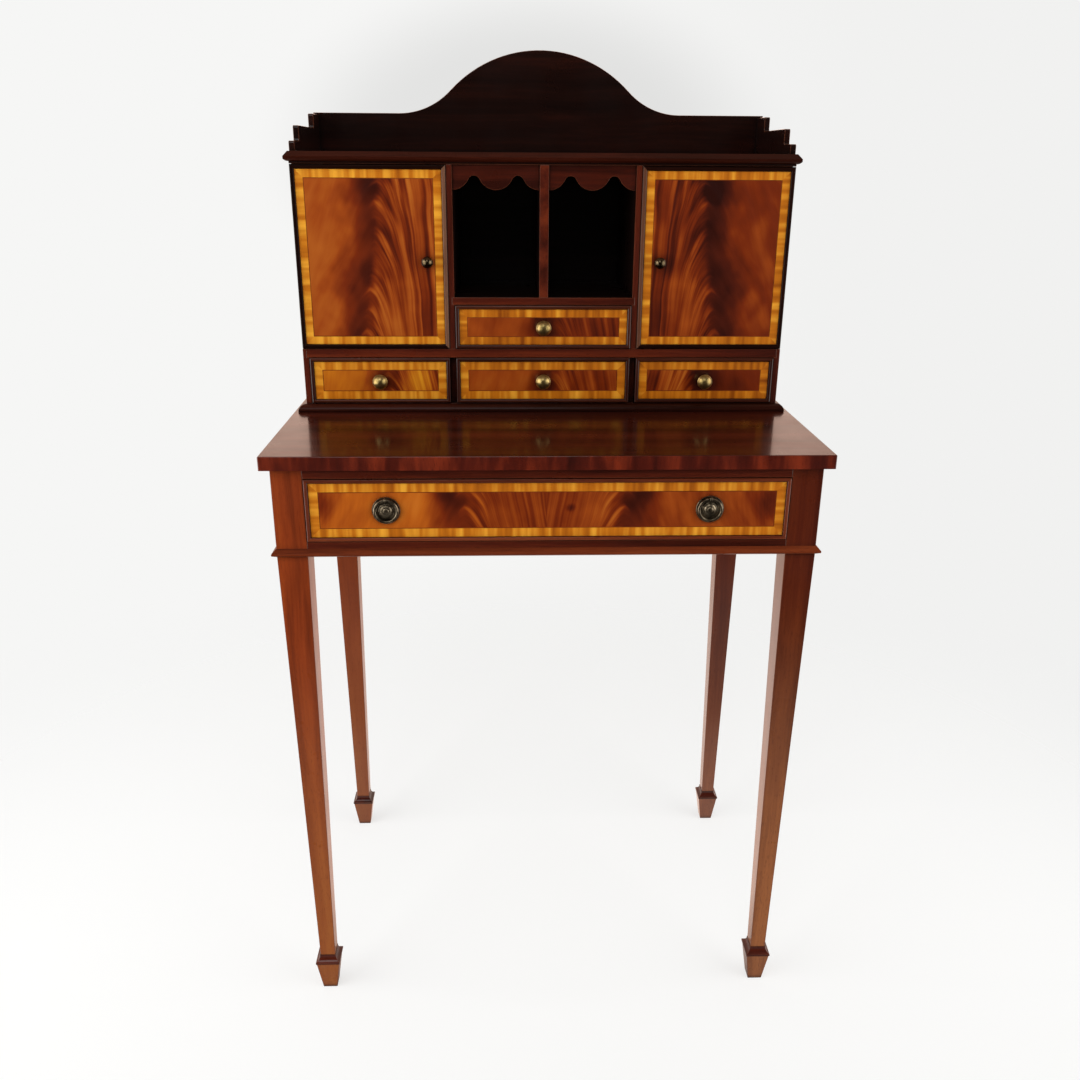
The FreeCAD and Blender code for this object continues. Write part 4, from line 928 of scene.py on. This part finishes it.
@dataclass
class Turnery(Workshop):
    """Fittings turned in brass and bronze: knobs, and back plates with their bosses, eyes and nuts."""

    shank_mm: float = 7.0
    boss_mm: float = 9.2
    boss_height_mm: float = 5.2
    nut_mm: float = 5.0
    nut_bore_mm: float = 2.05
    eye_mm: float = 2.8
    eye_wire_mm: float = 0.6
    eye_stretch: float = 2.2
    eye_forward_mm: float = 3.4
    eye_up_mm: float = 12.8
    sort_from_mm: tuple = (13.7, 3.1, 7.3)  # off the axis, so that the faces get the same order each time

    def spun(self, name: str, profile: tuple, steps: int = 56) -> Piece:
        """Spins a profile round an axis that points forward from the origin.

        Args:
            name: The pattern's name.
            profile: Pairs of radius and reach, in millimetres.
            steps: How many faces round the axis.

        Returns:
            The pattern.
        """
        bpy.ops.object.select_all(action="DESELECT")
        bpy.ops.mesh.primitive_plane_add(size=MM, location=(0, 0, 0))
        piece = bpy.context.object
        piece.name = piece.data.name = name
        bpy.ops.object.mode_set(mode="EDIT")
        bpy.ops.mesh.select_mode(type="VERT")
        bpy.ops.mesh.select_all(action="SELECT")
        bpy.ops.mesh.merge(type="CENTER")
        bpy.ops.transform.translate(value=(profile[0][0] * MM, -profile[0][1] * MM, 0))
        for (near, back), (far, front) in zip(profile, profile[1:]):
            step = ((far - near) * MM, (back - front) * MM, 0)
            bpy.ops.mesh.extrude_region_move(TRANSFORM_OT_translate={"value": step})
        bpy.ops.mesh.select_all(action="SELECT")
        bpy.ops.mesh.spin(steps=steps, angle=math.tau, center=(0, 0, 0), axis=(0, 1, 0))
        bpy.ops.mesh.select_all(action="SELECT")
        bpy.ops.mesh.remove_doubles(threshold=2 * MERGE)
        bpy.ops.mesh.normals_make_consistent(inside=False)
        bpy.context.scene.cursor.location = Vector(self.sort_from_mm) * MM
        bpy.ops.mesh.sort_elements(type="CURSOR_DISTANCE", elements={"EDGE", "FACE"})
        bpy.ops.object.mode_set(mode="OBJECT")
        bpy.context.scene.cursor.location = (0, 0, 0)
        return piece

    def copied(self, pattern: Piece, name: str, place: Vector) -> Piece:
        """Copies a pattern to its place, which goes into the copy's mesh.

        Args:
            pattern: The pattern, at the origin.
            name: The copy's name.
            place: Where the copy goes, in metres.

        Returns:
            The copy.
        """
        only(pattern)
        bpy.ops.object.duplicate()
        piece = bpy.context.object
        piece.name = piece.data.name = name
        bpy.ops.transform.translate(value=place)
        bpy.ops.object.transform_apply(location=True, rotation=False, scale=False)
        return piece

    def joined(self, pieces: list[Piece]) -> Piece:
        """Joins pieces into one.

        Args:
            pieces: The pieces.

        Returns:
            The first of them, which now holds them all.
        """
        only(pieces[0])
        for piece in pieces:
            piece.select_set(True)
        bpy.ops.object.join()
        return pieces[0]

    def knobs(self, bodies: dict[str, str], finish: AgedMetal, slot: str) -> None:
        """Turns one knob and copies it to every place that has one like it.

        Args:
            bodies: The body that each knob's node rides on.
            finish: The knobs' finish.
            slot: The record's material slot.
        """
        low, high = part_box(next(iter(bodies)))
        reach = (high.y - low.y) / MM - self.shank_mm
        profile = knob_profile((high.x - low.x) / 2 / MM, reach, self.shank_mm)
        pattern = self.spun("knob_pattern", profile)
        for node, body in bodies.items():
            low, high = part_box(node)
            place = Vector(((low.x + high.x) / 2, high.y - self.shank_mm * MM, (low.z + high.z) / 2))
            knob = self.copied(pattern, f"{node}_turned", place)
            give(knob, (finish,))
            self.finish(knob, body, slot, node)
        bpy.data.objects.remove(pattern)

    def rings(self) -> None:
        """Turns the back plates of the ring pulls, with their eyes and nuts."""
        front_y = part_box("drawer_front")[0].y
        low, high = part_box("pull_plates")
        tail = (high.y - front_y) / MM
        profile = plate_profile((high.z - low.z) / 2 / MM, self.boss_mm, self.boss_height_mm, tail)
        plate = self.spun("plate_pattern", profile)
        board = (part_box("drawer_front")[1].y - front_y) / MM
        bore, rim = self.nut_bore_mm, self.nut_mm
        nut = self.spun("nut_pattern", ((bore, -board), (rim, -board), (rim, 0.5 - tail), (rim - 0.5, -tail),
                                        (bore, -tail), (bore, -board)))
        bpy.ops.object.select_all(action="DESELECT")
        bpy.ops.mesh.primitive_torus_add(major_segments=32, minor_segments=14, major_radius=self.eye_mm * MM,
                                         minor_radius=self.eye_wire_mm * MM, rotation=(0, math.pi / 2, 0),
                                         location=(0, -self.eye_forward_mm * MM, self.eye_up_mm * MM))
        eye = bpy.context.object
        eye.scale = (1.0, 1.0, self.eye_stretch)
        bpy.ops.object.transform_apply(location=True, rotation=True, scale=True)
        pattern = self.joined([plate, eye, nut])
        plates = []
        for side in ("left", "right"):
            low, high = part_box(f"pull_ring_{side}")
            place = Vector(((low.x + high.x) / 2, front_y, (low.z + high.z) / 2))
            plates.append(self.copied(pattern, f"pull_plate_{side}", place))
        both = self.joined(plates)
        both.name = both.data.name = "pull_plates_turned"
        give(both, (BRONZE,))
        self.finish(both, "long_drawer", "bronze", "pull_plates")
        bpy.data.objects.remove(pattern)

    def build(self) -> None:
        """Turns every knob and back plate, and gives the rings and hinges their finish."""
        self.rings()
        self.knobs({f"{name}_drawer_knob": f"{name}_drawer" for name in ("upper", "lower", "left", "right")},
                   BRASS, "brass")
        self.knobs({f"door_{side}_knob": f"{side}_door" for side in ("left", "right")}, DARK_BRONZE,
                   "bronze")
        plain = {"pull_ring_left": BRONZE, "pull_ring_right": BRONZE, "door_left_hinge_leaves": BRASS,
                 "door_right_hinge_leaves": BRASS, "hinge_frame_leaves": BRASS, "hinge_pins": BRASS}
        for node, finish in plain.items():
            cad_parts[node].data.materials.clear()
            give(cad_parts[node], (finish,))


# ---------------------------------------------------------------- sub-assemblies

@dataclass
class Table(Workshop):
    """The writing table: top, legs on spade feet, rails and the moulding under the apron."""

    leg_arris_mm: float = 0.9
    collar_arris_mm: float = 0.3
    rough_arris_mm: float = 0.4

    def build(self) -> None:
        """Finishes every piece of the table."""
        self.top()
        for place, woods in LEGS_WITH_PAINTED_LIGHT.items():
            self.wooden(f"leg_{place}", "carcase", woods, arris_mm=self.leg_arris_mm)
        self.wooden("toe_collars", "carcase", CARCASE, arris_mm=self.collar_arris_mm, tone=-0.16)
        self.wooden("side_rail_left", "carcase", CARCASE)
        self.wooden("side_rail_right", "carcase", CARCASE)
        self.wooden("back_rail", "carcase", PINE, "secondary_wood")
        self.wooden("front_rail_bottom", "carcase", CARCASE)
        self.wooden("front_rail_top", "carcase", CARCASE)
        self.wooden("apron_moulding", "carcase", ASTRAGAL, arris_mm=0, rule=run_of("apron_moulding"))
        for node in ("drawer_runners", "drawer_kickers", "stop_blocks"):
            self.wooden(node, "carcase", PINE, "secondary_wood", arris_mm=self.rough_arris_mm)

    def top(self) -> None:
        """Finishes the writing top, with a crossbanded edge all round."""
        piece = working_copy("writing_top")
        self.grain_along(piece, TOP)
        edge_slot = give(piece, (EDGE_BANDING,))
        for face in piece.data.polygons:
            if abs(face.normal.z) < 0.8:
                face.material_index = edge_slot
        self.finish(piece, "carcase", "mahogany", "writing_top")


def run_of(node: str) -> Callable[[Vector], Axis]:
    """Tells the grain of a moulding that runs along a front and back along both sides.

    Args:
        node: The moulding's node.

    Returns:
        A rule that gives the grain at a point: along the front, or along the sides behind the mitres.
    """
    low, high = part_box(node)

    def rule(point: Vector) -> Axis:
        """Compares how far a point is from the front and from the nearer side."""
        beside = min(point.x - low.x, high.x - point.x)
        return Axis.X if point.y - low.y < beside else Axis.Y
    return rule


@dataclass
class Front:
    """The sizes of one veneered front: a field of flame veneer inside stringing and crossbanding."""

    node: str
    body: str
    veneers: tuple
    satinwood: tuple
    bead_mm: float = 4.6
    band_mm: float = 10.6
    string_mm: float = 0.9
    # painted shade: width of a thin dark line round the show face, for the shade in the gap by the cockbead
    shade_line_mm: float = 0.5
    join_mm: Optional[float] = None
    bead: tuple = BEAD
    # painted shade: the outer upright bead and the level beads get the dark bead wood
    dark_bead: Optional[Side] = None  # the upright bead that is dark, as the level ones then are


@dataclass
class VeneeredFronts(Workshop):
    """Lays the veneers on the fronts of the drawers and the doors."""

    def lay(self, front: Front) -> Piece:
        """Lays one front.

        Args:
            front: Its sizes and veneers.

        Returns:
            The finished front.
        """
        piece = working_copy(front.node)
        low, high = self.field_corners(front)
        face_y = min(face.center.y for face in piece.data.polygons
                     if self.inside(face, low, high) and face.normal.y < -FACING)

        def on_front(face: Face) -> bool:
            """Says whether a face is part of the board's show face."""
            level = abs(face.center.y - face_y) < LEVEL
            return face.normal.y < -FACING and level and self.inside(face, low, high)

        band = front.band_mm * MM
        string = front.string_mm * MM
        for reach in (front.shade_line_mm * MM, band, band + string):
            for x in (low.x + reach, high.x - reach):
                self.cut(piece, on_front, (x, 0, 0), (1, 0, 0))
            for z in (low.z + reach, high.z - reach):
                self.cut(piece, on_front, (0, 0, z), (0, 0, 1))
        if front.join_mm is not None:
            self.cut(piece, on_front, (front.join_mm * MM, 0, 0), (1, 0, 0))
        self.cut_mitres(piece, on_front, low, high, band + string)
        self.dress(piece, front, on_front, low, high)
        return self.finish(piece, front.body, "flame_veneer", front.node)

    def field_corners(self, front: Front) -> tuple[Vector, Vector]:
        """Finds the corners of the show face inside the cockbead.

        Args:
            front: The front's sizes.

        Returns:
            The lowest and highest corner.
        """
        low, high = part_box(front.node)
        if front.node == "drawer_front":
            low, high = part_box("drawer_cockbead")
        bead = Vector((front.bead_mm, 0, front.bead_mm)) * MM
        return low + bead, high - bead

    def inside(self, face: Face, low: Vector, high: Vector) -> bool:
        """Says whether a face lies inside the cockbead."""
        return (low.x - SLACK < face.center.x < high.x + SLACK
                and low.z - SLACK < face.center.z < high.z + SLACK)

    def cut(self, piece: Piece, test: Test, point: tuple, normal: tuple) -> None:
        """Cuts the chosen faces along a plane.

        Args:
            piece: The front.
            test: Says whether a face is cut.
            point: A point of the plane, in metres.
            normal: The direction across it.
        """
        if pick(piece, test):
            bpy.ops.mesh.bisect(plane_co=point, plane_no=normal, threshold=MERGE)
        bpy.ops.object.mode_set(mode="OBJECT")

    def cut_mitres(self, piece: Piece, test: Test, low: Vector, high: Vector, reach: float) -> None:
        """Cuts the mitres of the crossbanding in the four corners.

        Args:
            piece: The front.
            test: Says whether a face is part of the show face.
            low: The lowest corner of the show face.
            high: Its highest corner.
            reach: How far the mitres run in from the corners, in metres.
        """
        for x, inward in ((low.x, 1), (high.x, -1)):
            for z, upward in ((low.z, 1), (high.z, -1)):
                def in_corner(face: Face) -> bool:
                    """Says whether a face lies in this corner of the show face."""
                    return (test(face) and (face.center.x - x) * inward < reach
                            and (face.center.z - z) * upward < reach)
                self.cut(piece, in_corner, (x, 0, z), (inward, 0, -upward))

    def dress(self, piece: Piece, front: Front, test: Test, low: Vector, high: Vector) -> None:
        """Gives each part of the front its own finish.

        Args:
            piece: The front.
            front: Its sizes and veneers.
            test: Says whether a face is part of the show face.
            low: The lowest corner of the show face.
            high: Its highest corner.
        """
        self.grain_along(piece, front.bead)
        # painted shade: the outer upright bead and the level beads are painted dark
        if front.dark_bead:
            darker = give(piece, SHADED_BEAD)
            for face in piece.data.polygons:
                point = face.center
                right = front.dark_bead is Side.RIGHT
                past = point.x > high.x + SLACK if right else point.x < low.x - SLACK
                beyond = point.z > high.z + SLACK or point.z < low.z - SLACK
                if (past or beyond) and point.y < low.y + front.bead_mm * MM + SLACK:
                    face.material_index += darker
        string_slot = give(piece, (STRINGING, SHADED_BEAD[0]))
        shade_line_slot = string_slot + 1
        band_slot = give(piece, front.satinwood)
        veneer_slot = give(piece, front.veneers)
        band = front.band_mm * MM
        string = front.string_mm * MM
        for face in piece.data.polygons:
            if not test(face):
                continue
            beside = min(face.center.x - low.x, high.x - face.center.x)
            above = min(face.center.z - low.z, high.z - face.center.z)
            edge = min(beside, above)
            # painted shade: the thin dark line along the cockbead
            if edge < front.shade_line_mm * MM:
                face.material_index = shade_line_slot
            elif edge < band:
                face.material_index = band_slot + (0 if beside < above else 1)
            elif edge < band + string:
                face.material_index = string_slot
            else:
                right = front.join_mm is not None and face.center.x > front.join_mm * MM
                face.material_index = veneer_slot + int(right)


@dataclass
class LongDrawer(VeneeredFronts):
    """The long drawer: a front with two leaves of veneer that meet in the middle, and its box."""

    join_mm: float = -2.0
    lining_arris_mm: float = 0.5

    def build(self) -> None:
        """Finishes every piece of the drawer."""
        leaf = partial(FlameVeneer, foot_mm=672.0, lean=0.0, feather_tone=0.42, spacing_mm=13.0, seed=3.0)
        left = leaf("flame_veneer_drawer_left", plume_mm=-95.0, plain_tone=0.7, contrast=0.24, plume=0.4,
                    strokes=0.09, shade_mm=44.0,
                    palette=("280904", "471405", "6e2404", "93400a", "b05810", "c46e1e"), patches=(
                        Patch(-165.0, 34.0, 14.0, 26.0, -0.3), Patch(-4.0, 28.0, 8.0, 8.0, -0.08),
                        Patch(-62.0, 24.0, 18.0, 24.0, 0.1), Patch(22.0, 20.0, 14.0, 30.0, 0.06),
                        Patch(-26.0, 24.0, 15.0, 34.0, -0.2)))
        right = leaf("flame_veneer_drawer_right", plume_mm=86.0, feather_side=Side.LEFT, plain_tone=0.5,
                     contrast=0.2, plume=0.28, strokes=0.08, shade_mm=46.0, patches=(
                         Patch(-168.0, 34.0, 14.0, 30.0, -0.24), Patch(-6.0, 25.0, 8.0, 8.0, -0.1),
                         Patch(26.0, 20.0, 18.0, 34.0, 0.16), Patch(62.0, 24.0, 5.0, 4.0, -0.2),
                         Patch(-100.0, 14.0, 26.0, 20.0, 0.06), Patch(-26.0, 24.0, 15.0, 34.0, -0.12)))
        # painted light: the crossbanding's tone is set for the light falling from the left
        self.lay(Front("drawer_front", "long_drawer", (left, right), satinwood("drawer", 0.01),
                       join_mm=self.join_mm, bead=CARCASE))
        self.wooden("drawer_cockbead", "long_drawer", BEAD, arris_mm=0)
        for node in ("drawer_side_left", "drawer_side_right", "drawer_back", "drawer_bottom"):
            self.wooden(node, "long_drawer", LINING, "drawer_lining", arris_mm=self.lining_arris_mm)


@dataclass
class Cabinet(Workshop):
    """The cabinet's carcase, its mouldings and the gallery on top."""

    board_arris_mm: float = 0.5
    valance_arris_mm: float = 0.4
    back_arris_mm: float = 0.4
    groove_mm: float = 4.0
    floor_mm: float = 5.0
    shadow_mm: float = 20.0

    def build(self) -> None:
        """Finishes every piece of the cabinet."""
        for node in ("cabinet_base", "dust_board", "cabinet_side_left", "cabinet_side_right",
                     "lower_partitions", "upper_partitions", "pigeonhole_floor", "pigeonhole_divider"):
            self.darken_inside(self.wooden(node, "carcase", CARCASE, arris_mm=self.board_arris_mm))
        self.wooden("valances", "carcase", CARCASE, arris_mm=self.valance_arris_mm, tone=-0.2)
        self.darken_inside(self.wooden("cabinet_top", "carcase", GALLERY))
        for node in ("gallery_side_left", "gallery_side_right", "gallery_back"):
            self.wooden(node, "carcase", GALLERY)
        self.darken_inside(self.wooden("cabinet_back", "carcase", PINE, "secondary_wood",
                                       arris_mm=self.back_arris_mm))
        for node in ("base_moulding", "cornice_moulding"):
            self.wooden(node, "carcase", MOULDING, arris_mm=0, rule=run_of(node))

    def darken_inside(self, piece: Piece) -> None:
        """Paints the faces inside the cabinet, and the forward faces set deep in it, with a near-black, less
        polished wood, as painted shade.

        Args:
            piece: A finished board of the cabinet.
        """
        first = give(piece, INSIDE_SHADE)
        low, high = self.inside_corners
        for face in piece.data.polygons:
            ahead = face.center + face.normal * 2 * MM
            enclosed = all(low[axis] < ahead[axis] < high[axis] for axis in range(3))
            forward = face.normal.y < -0.9
            sunk = low.y + self.shadow_mm * MM < ahead.y < high.y
            if (enclosed and face.normal.y > -0.9) or (forward and sunk):
                face.material_index += first

    @property
    def inside_corners(self) -> tuple[Vector, Vector]:
        """The space inside the cabinet.

        Returns:
            Its lowest and highest corner.
        """
        left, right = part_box("cabinet_side_left"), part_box("cabinet_side_right")
        groove = self.groove_mm * MM
        return (Vector((left[1].x - groove, left[0].y, left[0].z + self.floor_mm * MM)),
                Vector((right[0].x + groove, left[1].y - groove, left[1].z + 1 * MM)))


@dataclass
class Doors(VeneeredFronts):
    """The two cupboard doors, with veneers that mirror each other."""

    bead_mm: float = 5.0
    band_mm: float = 10.0

    def build(self) -> None:
        """Finishes both doors."""
        leaf = partial(FlameVeneer, foot_mm=854.5, crack_mm=238.0, spacing_mm=13.0, seed=1.0)
        left = leaf("flame_veneer_door_left", plume_mm=-223.0, lean=0.12, shade_mm=60.0, contrast=0.36,
                    plume=0.33, patches=(
                        Patch(14.0, 186.0, 18.0, 14.0, -0.16), Patch(4.0, 80.0, 8.0, 22.0, -0.06),
                        Patch(-6.0, 14.0, 18.0, 22.0, -0.06), Patch(-66.0, 120.0, 16.0, 18.0, 0.1),
                        Patch(-39.0, 45.0, 16.0, 18.0, 0.08), Patch(44.0, 14.0, 22.0, 45.0, 0.16),
                        Patch(86.0, 55.0, 12.0, 60.0, -0.06), Patch(70.0, 170.0, 18.0, 30.0, 0.05)))
        right = leaf("flame_veneer_door_right", plume_mm=219.0, feather_side=Side.LEFT, lean=0.13,
                     plain_tone=0.39, feather_tone=0.34, contrast=0.27, plume=0.25, patches=(
                         Patch(12.0, 186.0, 20.0, 20.0, -0.14), Patch(-51.0, 130.0, 10.0, 22.0, 0.14),
                         Patch(-60.0, 90.0, 9.0, 16.0, 0.08), Patch(-44.0, 50.0, 10.0, 14.0, 0.14),
                         Patch(-62.0, 24.0, 12.0, 15.0, 0.12), Patch(42.0, 40.0, 18.0, 60.0, 0.2),
                         Patch(78.0, 120.0, 9.0, 36.0, 0.12), Patch(62.0, 86.0, 14.0, 14.0, -0.12)))
        # painted light: the left door's crossbanding is paler and the right door's darker, for the light from
        # the left
        for side, veneer, tone in ((Side.LEFT, left, 0.07), (Side.RIGHT, right, -0.03)):
            name = side.name.lower()
            self.lay(Front(f"door_{name}", f"{name}_door", (veneer,), satinwood(f"door_{name}", tone),
                           bead_mm=self.bead_mm, band_mm=self.band_mm, bead=LIT_BEAD, dark_bead=side))


@dataclass
class SmallDrawers(VeneeredFronts):
    """The four small drawers: one above another in the middle, and one under each door."""

    upper_foot_mm: float = 850.0
    lower_foot_mm: float = 782.0
    box_arris_mm: float = 0.3

    def build(self) -> None:
        """Finishes the four drawers."""
        leaf = partial(FlameVeneer, foot_mm=self.lower_foot_mm, lean=0.0)
        upper = FlameVeneer("flame_veneer_upper_drawer", plume_mm=14.0, foot_mm=self.upper_foot_mm, lean=0.0,
                            seed=5.0, shade_mm=46.0, plain_tone=0.53, feather_tone=0.33, contrast=0.22,
                            plume=0.3, spacing_mm=15.0)
        lower = leaf("flame_veneer_lower_drawer", plume_mm=12.0, seed=6.0, shade_mm=42.0, plain_tone=0.55,
                     feather_tone=0.39, contrast=0.24, plume=0.32, spacing_mm=15.0)
        left = leaf("flame_veneer_left_drawer", plume_mm=-198.0, seed=7.0, shade_mm=50.0, plain_tone=0.68,
                    feather_tone=0.42, palette=("280904", "471405", "6e2404", "93400c", "b4640e", "cc8418"),
                    patches=(Patch(40.0, 15.0, 20.0, 30.0, 0.32), Patch(-80.0, 15.0, 20.0, 30.0, 0.06)))
        right = leaf("flame_veneer_right_drawer", plume_mm=196.0, feather_side=Side.LEFT, seed=8.0,
                     shade_mm=50.0, plain_tone=0.34, feather_tone=0.44, plume=0.2,
                     patches=(Patch(26.0, 15.0, 16.0, 30.0, 0.14), Patch(58.0, 15.0, 10.0, 30.0, -0.12)))
        # painted light: each drawer's crossbanding tone follows the light falling from the left
        fronts = (("upper", upper, -0.12, 10.0), ("lower", lower, -0.04, 10.6), ("left", left, 0.06, 10.6),
                  ("right", right, -0.13, 10.4))
        for name, veneer, tone, band_mm in fronts:
            self.lay(Front(f"{name}_drawer_front", f"{name}_drawer", (veneer,), satinwood(name, tone),
                           band_mm=band_mm, bead=SMALL_BEAD))
            self.wooden(f"{name}_drawer_box", f"{name}_drawer", LINING, "drawer_lining",
                        arris_mm=self.box_arris_mm)


# ---------------------------------------------------------------- studio

@dataclass
class Studio:
    """The floor, the backdrop, the lamps and the camera."""

    camera_mm: tuple = (-47.9152, -1284.4538, 1062.7739)
    yaw_deg: float = 2.0138
    pitch_deg: float = 20.5314
    roll_deg: float = -0.3742
    lens_mm: float = 33.6378
    paper: str = "f6f6f5"
    mirrored: str = "ffd8c4"
    floor_glow: float = 0.71
    front_glow: float = 0.655
    room_light: float = 0.42
    floor_m: float = 4.0
    fibre_mm: float = 4.0
    glow_y_mm: tuple = (-650.0, -100.0)
    mirrored_y_mm: tuple = (-220.0, 20.0)
    fade_mm: tuple = (650.0, 1500.0)
    shadow_reach: tuple = (0.13, 0.25)
    shadow_tone: float = 0.84

    def build(self) -> None:
        """Sets up the studio."""
        self.floor()
        self.world()
        self.lamp("left_softbox", (-1.9, -0.9, 1.0), (0.0, -0.1, 0.85), 2.2, 54.0)
        self.lamp("right_softbox", (2.0, -0.9, 1.0), (0.0, -0.1, 0.85), 2.2, 40.0)
        self.lamp("front_softbox", (-0.4, -2.4, 2.9), (0.0, 0.0, 0.7), 1.4, 16.0)
        self.camera()
        bpy.context.scene.view_settings.view_transform = "Standard"

    def floor(self) -> None:
        """Lays the paper floor, which fades into the paper behind it."""
        bpy.ops.object.select_all(action="DESELECT")
        bpy.ops.mesh.primitive_circle_add(vertices=96, radius=self.floor_m, fill_type="NGON",
                                          location=(0, 0, 0))
        floor = bpy.context.object
        floor.name = "studio_floor"
        material, tree, shader = new_material("studio_paper")
        put = partial(add, tree)
        place = millimetres(tree)
        fibres = put("TexNoise", {"Vector": place, "Scale": 1 / self.fibre_mm, "Detail": 3.0})
        relief = put("Bump", {"Height": fibres, "Strength": 0.05, "Distance": 0.2 * MM})
        fill(shader, {"Base Color": linear("9a9a99"), "Roughness": 0.9, "Specular IOR Level": 0.1,
                      "Normal": relief})
        ray = put("LightPath").node.outputs
        depth = put("SeparateXYZ", place, output="Y")
        even = put("MapRange", depth, *self.glow_y_mm, self.front_glow, self.floor_glow)
        glow = put("Emission", {"Color": linear(self.paper), "Strength": even})
        seen = put("AddShader", shader.outputs[0], glow)
        behind = put("MapRange", depth, *self.mirrored_y_mm, 0.0, 0.8, **SOFT)
        share = put("Math", behind, ray["Is Glossy Ray"], operation="MULTIPLY")
        mirrored = put("Emission", {"Color": linear(self.mirrored), "Strength": share})
        unseen = put("AddShader", shader.outputs[0], mirrored)
        paper = put("MixShader", ray["Is Camera Ray"], unseen, seen)
        reach = put("VectorMath", place, operation="LENGTH")
        fade = put("MapRange", reach, *self.fade_mm, **SOFT)
        whole = put("MixShader", fade, paper, put("BsdfTransparent"))
        fill(tree.nodes["Material Output"], {"Surface": whole})
        floor.data.materials.append(material)

    def world(self) -> None:
        """Lights the room evenly, with pale paper behind the piece and the dark of the room in front. The
        paper that the camera sees is painted a little darker to the right, with a soft painted shadow
        straight behind the piece.
        """
        world = bpy.data.worlds.new("studio_world")
        bpy.context.scene.world = world
        world.use_nodes = True
        tree = world.node_tree
        put = partial(add, tree)
        room = tree.nodes["Background"]
        fill(room, {"Color": linear("ffffff"), "Strength": self.room_light})
        facing = put("TexCoord", output="Generated")
        parts = put("SeparateXYZ", facing).node.outputs
        # painted shade: the paper darkens to the right, and a soft painted shadow lies behind the piece
        across = put("MapRange", parts["X"], -0.1, 0.3, 1.0, 0.955)
        centred = put("VectorMath", facing, (1.0, 0.0, 1.5), (-0.02, 0.0, 0.0), operation="MULTIPLY_ADD")
        apart = put("VectorMath", centred, operation="LENGTH")
        shadow = put("MapRange", apart, *self.shadow_reach, self.shadow_tone, 1.0, **SOFT)
        even = put("Math", across, shadow, operation="MULTIPLY")
        shown = put("Background", {"Color": linear(self.paper), "Strength": even})
        behind = put("MapRange", parts["Y"], -0.6, 0.1, 0.03, 0.9, **SOFT)
        backdrop = put("MapRange", parts["Y"], 0.8, 0.97, 0.0, 2.1, **SOFT)
        above = put("MapRange", parts["Z"], -0.02, 0.17, **SOFT)
        strength = put("Math", backdrop, above, behind, operation="MULTIPLY_ADD")
        mirrored = put("Background", {"Color": linear(self.mirrored), "Strength": strength})
        ray = put("LightPath").node.outputs
        unseen = put("MixShader", ray["Is Glossy Ray"], room.outputs[0], mirrored)
        fill(tree.nodes["World Output"], {"Surface": put("MixShader", ray["Is Camera Ray"], unseen, shown)})

    def lamp(self, name: str, place: tuple, target: tuple, size: float, power: float) -> None:
        """Hangs a softbox.

        Args:
            name: The lamp's name.
            place: Where it hangs, in metres.
            target: What it points at.
            size: Its width, in metres.
            power: Its power, in watts.
        """
        light = bpy.data.lights.new(name, "AREA")
        light.size = size
        light.energy = power
        lamp = bpy.data.objects.new(name, light)
        bpy.context.scene.collection.objects.link(lamp)
        lamp.location = place
        lamp.rotation_euler = (Vector(target) - Vector(place)).to_track_quat("-Z", "Y").to_euler()

    def camera(self) -> None:
        """Sets up the camera in front, a little to the left and looking down."""
        yaw, pitch, roll = (math.radians(angle) for angle in (self.yaw_deg, self.pitch_deg, self.roll_deg))
        forward = Vector((math.sin(yaw) * math.cos(pitch), math.cos(yaw) * math.cos(pitch), -math.sin(pitch)))
        right = Vector((math.cos(yaw), -math.sin(yaw), 0.0))
        down = forward.cross(right)
        across = right * math.cos(roll) + down * math.sin(roll)
        below = -right * math.sin(roll) + down * math.cos(roll)
        data = bpy.data.cameras.new("camera")
        data.sensor_width = 36.0
        data.lens = self.lens_mm
        data.clip_start = 0.02
        data.clip_end = 60.0
        camera = bpy.data.objects.new("camera", data)
        bpy.context.scene.collection.objects.link(camera)
        turn = Matrix((across, -below, -forward)).transposed().to_4x4()
        camera.matrix_world = Matrix.Translation(Vector(self.camera_mm) * MM) @ turn
        bpy.context.scene.camera = camera


def main() -> None:
    """Builds every sub-assembly in order."""
    logging.basicConfig(level=logging.INFO, format="%(message)s")
    for part in (Table(), LongDrawer(), Cabinet(), Doors(), SmallDrawers(), Turnery(), Studio()):
        LOG.info("building %s", type(part).__name__)
        part.build()


if __name__ == "__main__":
    main()
